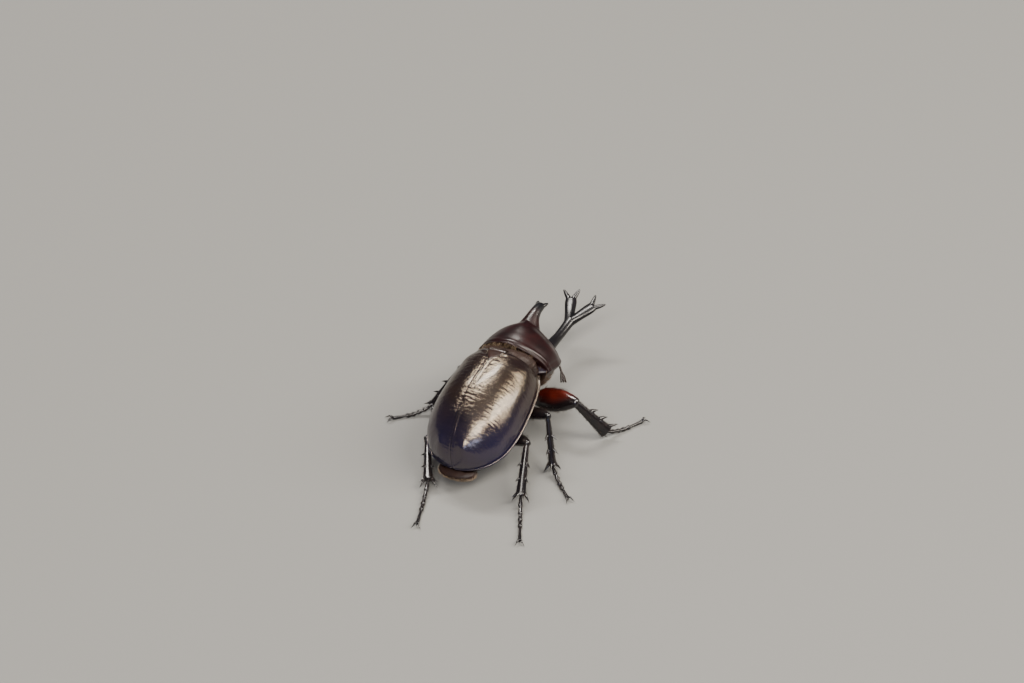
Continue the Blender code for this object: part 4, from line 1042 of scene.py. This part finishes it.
def spine(root, way, length, radius):
    """A slightly bent thorn with a thick root and a sharp tip."""
    way = Vector(way).normalized()
    path = []
    for f in (0.0, 0.35, 0.7, 1.0):
        path.append(Vector(root) + way * length * f + Vector((0.0, 0.12 * length * f * f, 0.0)))
    sizes = [(radius * f, radius * f) for f in (1.0, 0.72, 0.4, 0.1)]
    return tube(path, sizes, sides=10, steps=3, across=way.orthogonal())


def shin_spines(kind, sign, length):
    """Root, way, length and radius of each tooth or spine of a shin."""
    wide = TIBIA_HALF_WIDTH[kind]
    thorns = []
    if kind == "front":
        for along, reach in FRONT_TEETH:
            root = (sign * -0.55 * wide, length * along - TOOTH_DEPTH, 0.0)
            thorns.append((root, (sign * -1.0, 0.55, 0.1), reach + TOOTH_DEPTH, 0.75))
        thorns.append(((sign * 0.5 * wide, length * 0.97, -0.2), (sign * 0.2, 1.0, -0.25), 1.7, 0.4))
        return thorns
    for along in (0.38, 0.66):
        for lean in (-1.0, 1.0):
            thorns.append(((lean * 0.5 * wide, length * along, 0.2), (lean, 0.9, 0.9), 1.9, 0.45))
    for turn in RING_TURNS:
        out = math.radians(turn)
        root = (math.cos(out) * 0.8 * wide, length * 0.95, math.sin(out) * 0.5)
        thorns.append((root, (0.9 * math.cos(out), 0.8, 0.9 * math.sin(out)), 1.8, 0.45))
    for lean in (-1.0, 1.0):
        thorns.append(((lean * 0.9, length * 0.95, -0.5), (lean * 0.75, 1.0, -0.35), 2.6, 0.42))
    return thorns


def shin(kind, sign):
    length = TIBIA_LENGTH[kind]
    path, sizes = segment_line(TIBIA_STATIONS, length, TIBIA_HALF_WIDTH[kind], TIBIA_STOUTNESS[kind])
    parts = [tube(path, sizes, sides=24, tips=(0.7, 0.15))]
    for turn in KEEL_TURNS:
        c, s = 0.92 * math.cos(math.radians(turn)), 0.92 * math.sin(math.radians(turn))
        keel = []
        for (_, y, z), (wide, thick) in zip(path, sizes):
            keel.append((c * wide, min(y, 0.95 * length), z + s * thick))
        parts.append(tube(keel[1:], ((0.18, 0.18),) * (len(keel) - 1), sides=10))
    parts += [spine(*thorn) for thorn in shin_spines(kind, sign, length)]
    return grown(parts, voxel=0.09, smooth=3)


# %% Foot
# Where along a foot its joints start, and its end
FOOT_JOINTS = (0.0, 0.18, 0.33, 0.48, 0.63, 1.0)
FOOT_HEIGHT = 0.42
CLAW_LENGTH = 2.3
CLAW_SIZES = ((0.34, 0.32), (0.32, 0.3), (0.25, 0.24), (0.16, 0.16), (0.06, 0.06))


def foot_point(along, length, start_height):
    """The foot's line: down from the shin's end, then along the floor."""
    fall = max(0.0, 1.0 - along / 0.62) ** 1.8
    return Vector((0.0, length * along, FOOT_HEIGHT + (start_height - FOOT_HEIGHT) * fall))


def foot(kind, start_height):
    length = TARSUS_LENGTH[kind]
    parts = []
    for near, far in zip(FOOT_JOINTS, FOOT_JOINTS[1:]):
        last = far == FOOT_JOINTS[-1]
        path, sizes = [], []
        for k in range(7):
            f = k / 6
            path.append(foot_point(near + (far - near) * (f * 1.04 - 0.02), length, start_height))
            radius = 0.3 + (0.16 if last else 0.3) * f**1.3
            sizes.append((radius * 1.1, radius))
        parts.append(tube(path, sizes, sides=14, steps=2))
        if last:
            continue
        end = path[-1]
        ahead = (path[-1] - path[-2]).normalized()
        for sign in (-1, 1):
            for lift in (-0.45, 0.4):
                way = ahead + Vector((sign * 0.55, 0.0, lift))
                root = end - ahead * 0.15 + Vector((sign * 0.3, 0.0, lift * 0.4))
                parts.append(spine(root, way, 0.7, 0.15))
    tip = foot_point(1.0, length, start_height)
    for sign in (-1, 1):
        out = Vector((sign * 0.42, 0.9, 0.0)).normalized()
        path = []
        for f in (-0.1, 0.2, 0.45, 0.7, 1.0):
            rise = 0.7 * math.sin(math.pi * min(1.0, f * 1.15)) - 0.25 * f
            path.append(tip + out * CLAW_LENGTH * f + Vector((sign * 0.25 * f * f, 0.0, rise)))
        parts.append(tube(path, CLAW_SIZES, sides=12))
    parts.append(tube([tip, tip + Vector((0.0, 1.0, -0.1))], ((0.12, 0.12), (0.08, 0.08)), sides=8))
    made = grown(parts, voxel=0.07, smooth=2)
    places = vertex_places(made)
    places[:, 2] = np.maximum(places[:, 2], 0.0)
    made.vertices.foreach_set("co", places.ravel())
    return made


# %% Building the legs
for (kind, side), angles in LEG_ANGLES.items():
    sign = SIDES[side]
    carrier = PROTHORAX_FRAME if kind == "front" else BODY_FRAME
    hip_x, hip_y, hip_z = HIP_PLACE[kind]
    hip = carrier @ Vector((sign * hip_x, hip_y, hip_z))
    knee = hip + direction(sign, angles[0], angles[1]) * FEMUR_LENGTH[kind]
    ankle = knee + direction(sign, angles[2], angles[3]) * TIBIA_LENGTH[kind]
    thigh_frame = segment_frame(hip, sign, angles[0], angles[1], FEMUR_ROLL[kind])
    shin_frame = segment_frame(knee, sign, angles[2], angles[3], TIBIA_ROLL[kind])
    foot_frame = segment_frame((ankle.x, ankle.y, 0.0), sign, angles[4], 0.0)
    tail = "%s_%s" % (kind, side)
    thigh_mesh = thigh(kind)
    across, along, _ = vertex_places(thigh_mesh).T
    # The red of a front thigh lies along its upper edge and fades to black below and at the knee
    knee_share = np.maximum(0.0, along / FEMUR_LENGTH[kind] - 0.62)
    paint_shade(thigh_mesh, 0.35 + 1.3 * sign * across / FEMUR_HALF_WIDTH[kind] + 2.2 * knee_share)
    thigh_look = "red_brown_shell" if kind == "front" else "leg_shell"
    thigh_slot = "red_brown_shell" if kind == "front" else "dark_brown_shell"
    segments = (
        ("thigh", thigh_mesh, thigh_look, thigh_slot, "femur", thigh_frame),
        ("shin", shin(kind, sign), "leg_shell", "black_shell", "tibia", shin_frame),
        ("foot", foot(kind, ankle.z), "leg_shell", "black_shell", "tarsus", foot_frame),
    )
    for segment, skin, look, slot, node, where in segments:
        hides["%s_%s" % (segment, tail)] = (skin.copy(), where)
        add_piece("%s_%s" % (segment, tail), skin, look, ["%s_%s" % (node, tail)], where)

# %% [markdown]
# ## Hairs and bristles
# A beetle is bald above and hairy below and in its joints. Each patch of hair grows on a copy of
# the skin it belongs to, where two values are painted at every point: how densely hair covers it,
# and which way it lies. A Geometry Nodes tree scatters roots by the first, turns a three-sided
# tapering bristle along the second at each root, varies its length, and makes plain mesh of all.

# %% Bristle nodes
BRISTLE_NUMBERS = (
    "Per mm2", "Length", "Radius", "Raise", "Bend", "Axis height", "Low end", "Span", "Tile", "Tiles",
)
BRISTLE_INPUTS = (
    ("Geometry", "NodeSocketGeometry"), *((name, "NodeSocketFloat") for name in BRISTLE_NUMBERS),
    ("Seed", "NodeSocketInt"), ("Material", "NodeSocketMaterial"),
)
# How far a bristle may stray from the way it is laid
JITTER = 0.22
# Edge of each bristle's patch on the unwrap
PATCH = 0.003


def vectors(tree, operation, a, b, output=0):
    return feed(tree, "ShaderNodeVectorMath", {0: a, 1: b}, operation=operation)[output]


def scaled(tree, vector, factor):
    return feed(tree, "ShaderNodeVectorMath", {0: vector, 3: factor}, operation="SCALE")[0]


def stored(tree, geometry, name, value, kind, domain="POINT"):
    """Keeps a value on the geometry as a named attribute."""
    inputs = {"Geometry": geometry, "Name": name, "Value": value}
    return feed(tree, "GeometryNodeStoreNamedAttribute", inputs, data_type=kind, domain=domain)[0]


def named(tree, name, kind="FLOAT"):
    """A named attribute of the geometry."""
    return feed(tree, "GeometryNodeInputNamedAttribute", {"Name": name}, data_type=kind)[0]


def one_bristle(tree, given):
    """A bristle of length 1 that leaves its root upwards, bends over and tapers to its tip."""
    line = feed(tree, "GeometryNodeCurvePrimitiveLine")[0]
    line = feed(tree, "GeometryNodeResampleCurve", {"Curve": line, "Count": 4})[0]
    along = feed(tree, "GeometryNodeSplineParameter")["Factor"]
    sag = maths(tree, "MULTIPLY", maths(tree, "POWER", along, 2.0), given["Bend"])
    offset = feed(tree, "ShaderNodeCombineXYZ", {"X": maths(tree, "MULTIPLY", sag, -1.0)})[0]
    line = feed(tree, "GeometryNodeSetPosition", {"Geometry": line, "Offset": offset})[0]
    line = stored(tree, line, "along", along, "FLOAT")
    circle = feed(tree, "GeometryNodeCurvePrimitiveCircle", {"Resolution": 3, "Radius": 1.0})[0]
    circle = stored(tree, circle, "around", feed(tree, "GeometryNodeInputIndex")[0], "FLOAT")
    thin = maths(tree, "DIVIDE", given["Radius"], given["Length"])
    taper = maths(tree, "SUBTRACT", 1.0, maths(tree, "MULTIPLY", along, 0.85))
    width = maths(tree, "MULTIPLY", thin, taper)
    rod = {"Curve": line, "Profile Curve": circle, "Scale": width, "Fill Caps": True}
    return feed(tree, "GeometryNodeCurveToMesh", rod)[0]


def root_places(tree, given):
    """Where each root lies when the skin is unrolled round its long axis."""
    x, y, z = feed(tree, "ShaderNodeSeparateXYZ", {0: feed(tree, "GeometryNodeInputPosition")[0]})
    turn = maths(tree, "ARCTAN2", x, maths(tree, "SUBTRACT", z, given["Axis height"]))
    turn = maths(tree, "ADD", maths(tree, "DIVIDE", turn, 2.0 * math.pi), 0.5)
    u = maths(tree, "DIVIDE", maths(tree, "ADD", turn, given["Tile"]), given["Tiles"])
    v = maths(tree, "DIVIDE", maths(tree, "SUBTRACT", y, given["Low end"]), given["Span"])
    return feed(tree, "ShaderNodeCombineXYZ", {"X": u, "Y": v})[0]


def bristle_tree():
    tree = bpy.data.node_groups.new("bristles", "GeometryNodeTree")
    for name, kind in BRISTLE_INPUTS:
        tree.interface.new_socket(name, in_out="INPUT", socket_type=kind)
    tree.interface.new_socket("Geometry", in_out="OUTPUT", socket_type="NodeSocketGeometry")
    given = tree.nodes.new("NodeGroupInput").outputs
    cover = named(tree, "cover")
    lay = named(tree, "lay", "FLOAT_VECTOR")
    density = maths(tree, "MULTIPLY", cover, given["Per mm2"])
    scatter = {"Mesh": given["Geometry"], "Density": density, "Seed": given["Seed"]}
    points, normal, _ = feed(tree, "GeometryNodeDistributePointsOnFaces", scatter)
    upright = scaled(tree, normal, vectors(tree, "DOT_PRODUCT", lay, normal, "Value"))
    flat = vectors(tree, "SUBTRACT", lay, upright)
    flat = feed(tree, "ShaderNodeVectorMath", {0: flat}, operation="NORMALIZE")[0]
    blend = {0: given["Raise"], 4: flat, 5: normal}
    mixed = feed(tree, "ShaderNodeMix", blend, data_type="VECTOR")["Result"]
    stray = {0: (-JITTER,) * 3, 1: (JITTER,) * 3, "Seed": 5}
    jitter = feed(tree, "FunctionNodeRandomValue", stray, data_type="FLOAT_VECTOR")[0]
    way = vectors(tree, "ADD", mixed, jitter)
    turned = feed(
        tree, "FunctionNodeAxesToRotation", {"Primary Axis": way, "Secondary Axis": normal},
        primary_axis="Z", secondary_axis="X",
    )[0]
    points = stored(tree, points, "root", root_places(tree, given), "FLOAT_VECTOR")
    size = feed(tree, "FunctionNodeRandomValue", {2: 0.6, 3: 1.15, "Seed": 9}, data_type="FLOAT")["Value"]
    size = maths(tree, "MULTIPLY", size, given["Length"])
    placed = {"Points": points, "Instance": one_bristle(tree, given), "Rotation": turned, "Scale": size}
    grown_hair = feed(tree, "GeometryNodeInstanceOnPoints", placed)[0]
    grown_hair = feed(tree, "GeometryNodeRealizeInstances", {"Geometry": grown_hair})[0]
    root = named(tree, "root", "FLOAT_VECTOR")
    half_round = maths(tree, "DIVIDE", named(tree, "around"), 2.0)
    spread = feed(tree, "ShaderNodeCombineXYZ", {"X": half_round, "Y": named(tree, "along")})[0]
    place = vectors(tree, "ADD", root, scaled(tree, spread, PATCH))
    grown_hair = stored(tree, grown_hair, "OFBake", place, "FLOAT2", "CORNER")
    painted = {"Geometry": grown_hair, "Material": given["Material"]}
    grown_hair = feed(tree, "GeometryNodeSetMaterial", painted)[0]
    feed(tree, "NodeGroupOutput", {0: grown_hair})
    return tree


BRISTLES = bristle_tree()
print(len(BRISTLES.nodes), "bristle nodes")

# %% Growing hair on a skin
GROUND_CLEARANCE = 0.02
# Finish, way it lies, hairs to a mm2, length, radius, share raised, bend and seed of each coat
COATS = {
    "mesothorax": ("neck_hair", (0.0, -1.0, 0.25), 14.0, 1.0, 0.045, 0.25, 0.3, 3),
    "shield": ("golden_hair", (0.0, -0.7, -0.7), 14.0, 1.2, 0.05, 0.45, 0.5, 4),
    "pygidium": ("golden_hair", (0.0, -0.8, -0.5), 14.0, 0.8, 0.045, 0.3, 0.2, 5),
    "abdomen": ("brown_hair", (0.0, -1.0, -0.1), 7.0, 1.3, 0.045, 0.25, 0.2, 6),
    "metathorax": ("brown_hair", (0.0, -1.0, -0.3), 6.0, 1.3, 0.05, 0.3, 0.25, 7),
    "prosternum": ("brown_hair", (0.0, 0.9, -0.4), 5.0, 1.3, 0.05, 0.35, 0.25, 8),
    "mouthparts": ("orange_hair", (0.0, 0.6, -0.8), 16.0, 1.4, 0.05, 0.6, 0.2, 9),
    "coxa": ("dark_hair", (0.0, -0.4, -1.0), 5.0, 1.0, 0.045, 0.35, 0.2, 11),
    "thigh": ("dark_hair", (0.0, 1.0, 0.0), 4.0, 1.2, 0.045, 0.45, 0.2, 12),
    "shin": ("dark_hair", (0.0, 1.0, 0.0), 3.5, 0.9, 0.045, 0.4, 0.15, 13),
    "foot": ("dark_hair", (0.0, 1.0, -0.3), 3.0, 0.6, 0.04, 0.4, 0.15, 14),
}


def hair_on(hide, cover, tile=(0, 1)):
    """Hair on one skin, as a mesh in millimetres in the floor frame."""
    finish, lay, per_mm2, length, radius, raised, bend, seed = COATS[hide.split("_")[0]]
    skin, where = hides[hide]
    holder = new_object("hide", skin.copy())
    places = vertex_places(holder.data)
    values = np.clip(cover, 0.0, 1.0).astype(np.float32)
    holder.data.attributes.new("cover", "FLOAT", "POINT").data.foreach_set("value", values)
    ways = np.broadcast_to(np.array(lay, np.float32), places.shape)
    lay_data = holder.data.attributes.new("lay", "FLOAT_VECTOR", "POINT").data
    lay_data.foreach_set("vector", np.ascontiguousarray(ways).ravel())
    modifier = holder.modifiers.new("bristles", "NODES")
    modifier.node_group = BRISTLES
    low, high = places.min(axis=0), places.max(axis=0)
    given = {
        "Per mm2": per_mm2, "Length": length, "Radius": radius, "Raise": raised, "Bend": bend,
        "Axis height": float(0.5 * (low[2] + high[2])),
        "Low end": float(low[1]), "Span": float(high[1] - low[1]),
        "Tile": float(tile[0]), "Tiles": float(tile[1]), "Seed": seed, "Material": FINISH[finish],
    }
    for item in BRISTLES.interface.items_tree:
        if item.name in given:
            modifier[item.identifier] = given[item.name]
    made = finished_mesh(holder)
    for name in ("along", "around", "root", "cover", "lay"):
        if made.attributes.get(name):
            made.attributes.remove(made.attributes[name])
    made.transform(where)
    # Bristles that reach the ground lie on it
    ends = vertex_places(made)
    ends[:, 2] = np.maximum(ends[:, 2], GROUND_CLEARANCE)
    made.vertices.foreach_set("co", ends.ravel())
    return made


def skin_points(hide):
    """Places and normals of a skin's points."""
    skin = hides[hide][0]
    normals = np.empty(len(skin.vertices) * 3)
    skin.vertices.foreach_get("normal", normals)
    return vertex_places(skin), normals.reshape(-1, 3)


def step(values, edge, width):
    """0 below an edge and 1 above it, with a soft change between."""
    return 1.0 / (1.0 + np.exp(-np.clip((values - edge) / width, -30.0, 30.0)))


def hair_piece(name, meshes, finish):
    add_piece(name, joined(meshes) if len(meshes) > 1 else meshes[0], finish, [])


# %% Hair of the joint behind the shield
places, _ = skin_points("mesothorax")
patches = 0.5 + 0.5 * np.sin(1.3 * places[:, 0] + 0.8) * np.cos(0.9 * places[:, 1])
neck_cover = step(places[:, 2], -4.0, 0.5) * (0.25 + 0.75 * patches)
hair_piece("neck_hair", [hair_on("mesothorax", neck_cover)], "neck_hair")

# The fringe grows only where the shield faces backwards, so that none stands on its bead
places, normals = skin_points("shield")
behind = step(-normals[:, 1], 0.88, 0.03) * step(1.5, places[:, 1], 0.2) * step(places[:, 2], 3.2, 0.4)
behind = behind * (0.3 + 0.7 * step(2.5, places[:, 0], 1.0))
hair_piece("shield_fringe", [hair_on("shield", behind)], "golden_hair")

# %% Hair of the rear and the underside
# Where the first belly ring starts, the length of a ring, and where on it the row of hair is
BELLY_START = 15.5
BELLY_RING = 3.34
BELLY_ROW = 1.6
BELLY_ROWS = 5

places, normals = skin_points("pygidium")
tail_cover = step(-places[:, 1], 31.0, 0.4) * step(-normals[:, 2], -0.35, 0.1)
hair_piece("tail_hair", [hair_on("pygidium", tail_cover)], "golden_hair")

places, _ = skin_points("abdomen")
rings = [-places[:, 1] - (BELLY_START + BELLY_RING * k) for k in range(BELLY_ROWS)]
rows = sum(np.exp(-(((place - BELLY_ROW) / 0.35) ** 2)) for place in rings)
belly_hair = hair_on("abdomen", step(-places[:, 2], 1.0, 0.3) * rows)
places, _ = skin_points("metathorax")
chest_cover = step(-places[:, 2], 2.0, 0.5) * (0.25 + 0.75 * step(np.abs(places[:, 0]), 3.0, 0.7))
chest_hair = hair_on("metathorax", chest_cover)
_, normals = skin_points("prosternum")
throat_hair = hair_on("prosternum", step(-normals[:, 2], 0.1, 0.1))
hair_piece("belly_hair", [belly_hair, chest_hair, throat_hair], "brown_hair")

# %% Mouth brush
_, normals = skin_points("mouthparts")
brush_cover = step(0.5 * normals[:, 1] - normals[:, 2], 0.35, 0.1)
hair_piece("mouth_brush", [hair_on("mouthparts", brush_cover)], "orange_hair")

# %% Bristles of the legs
LEG_SEGMENTS = ("coxa", "thigh", "shin", "foot")
for kind in FEMUR_LENGTH:
    for side in SIDES:
        tail = "_%s_%s" % (kind, side)
        points = {segment: skin_points(segment + tail) for segment in LEG_SEGMENTS}
        covers = {"coxa": step(-points["coxa"][1][:, 2], 0.0, 0.2)}
        places = points["thigh"][0]
        edges = step(np.abs(places[:, 0]) / FEMUR_HALF_WIDTH[kind], 0.72, 0.05)
        covers["thigh"] = edges * step(places[:, 1], 2.0, 0.5)
        covers["shin"] = 0.25 + 0.75 * step(np.abs(points["shin"][1][:, 0]), 0.8, 0.1)
        places = points["foot"][0]
        before_claws = step(TARSUS_LENGTH[kind] * 0.9, places[:, 1], 0.2)
        covers["foot"] = before_claws * step(places[:, 2], 0.25, 0.05)
        coats = []
        for number, (segment, cover) in enumerate(covers.items()):
            coats.append(hair_on(segment + tail, cover, (number, len(LEG_SEGMENTS))))
        hair_piece("bristles" + tail, coats, "dark_hair")

for skin, _ in hides.values():
    bpy.data.meshes.remove(skin)
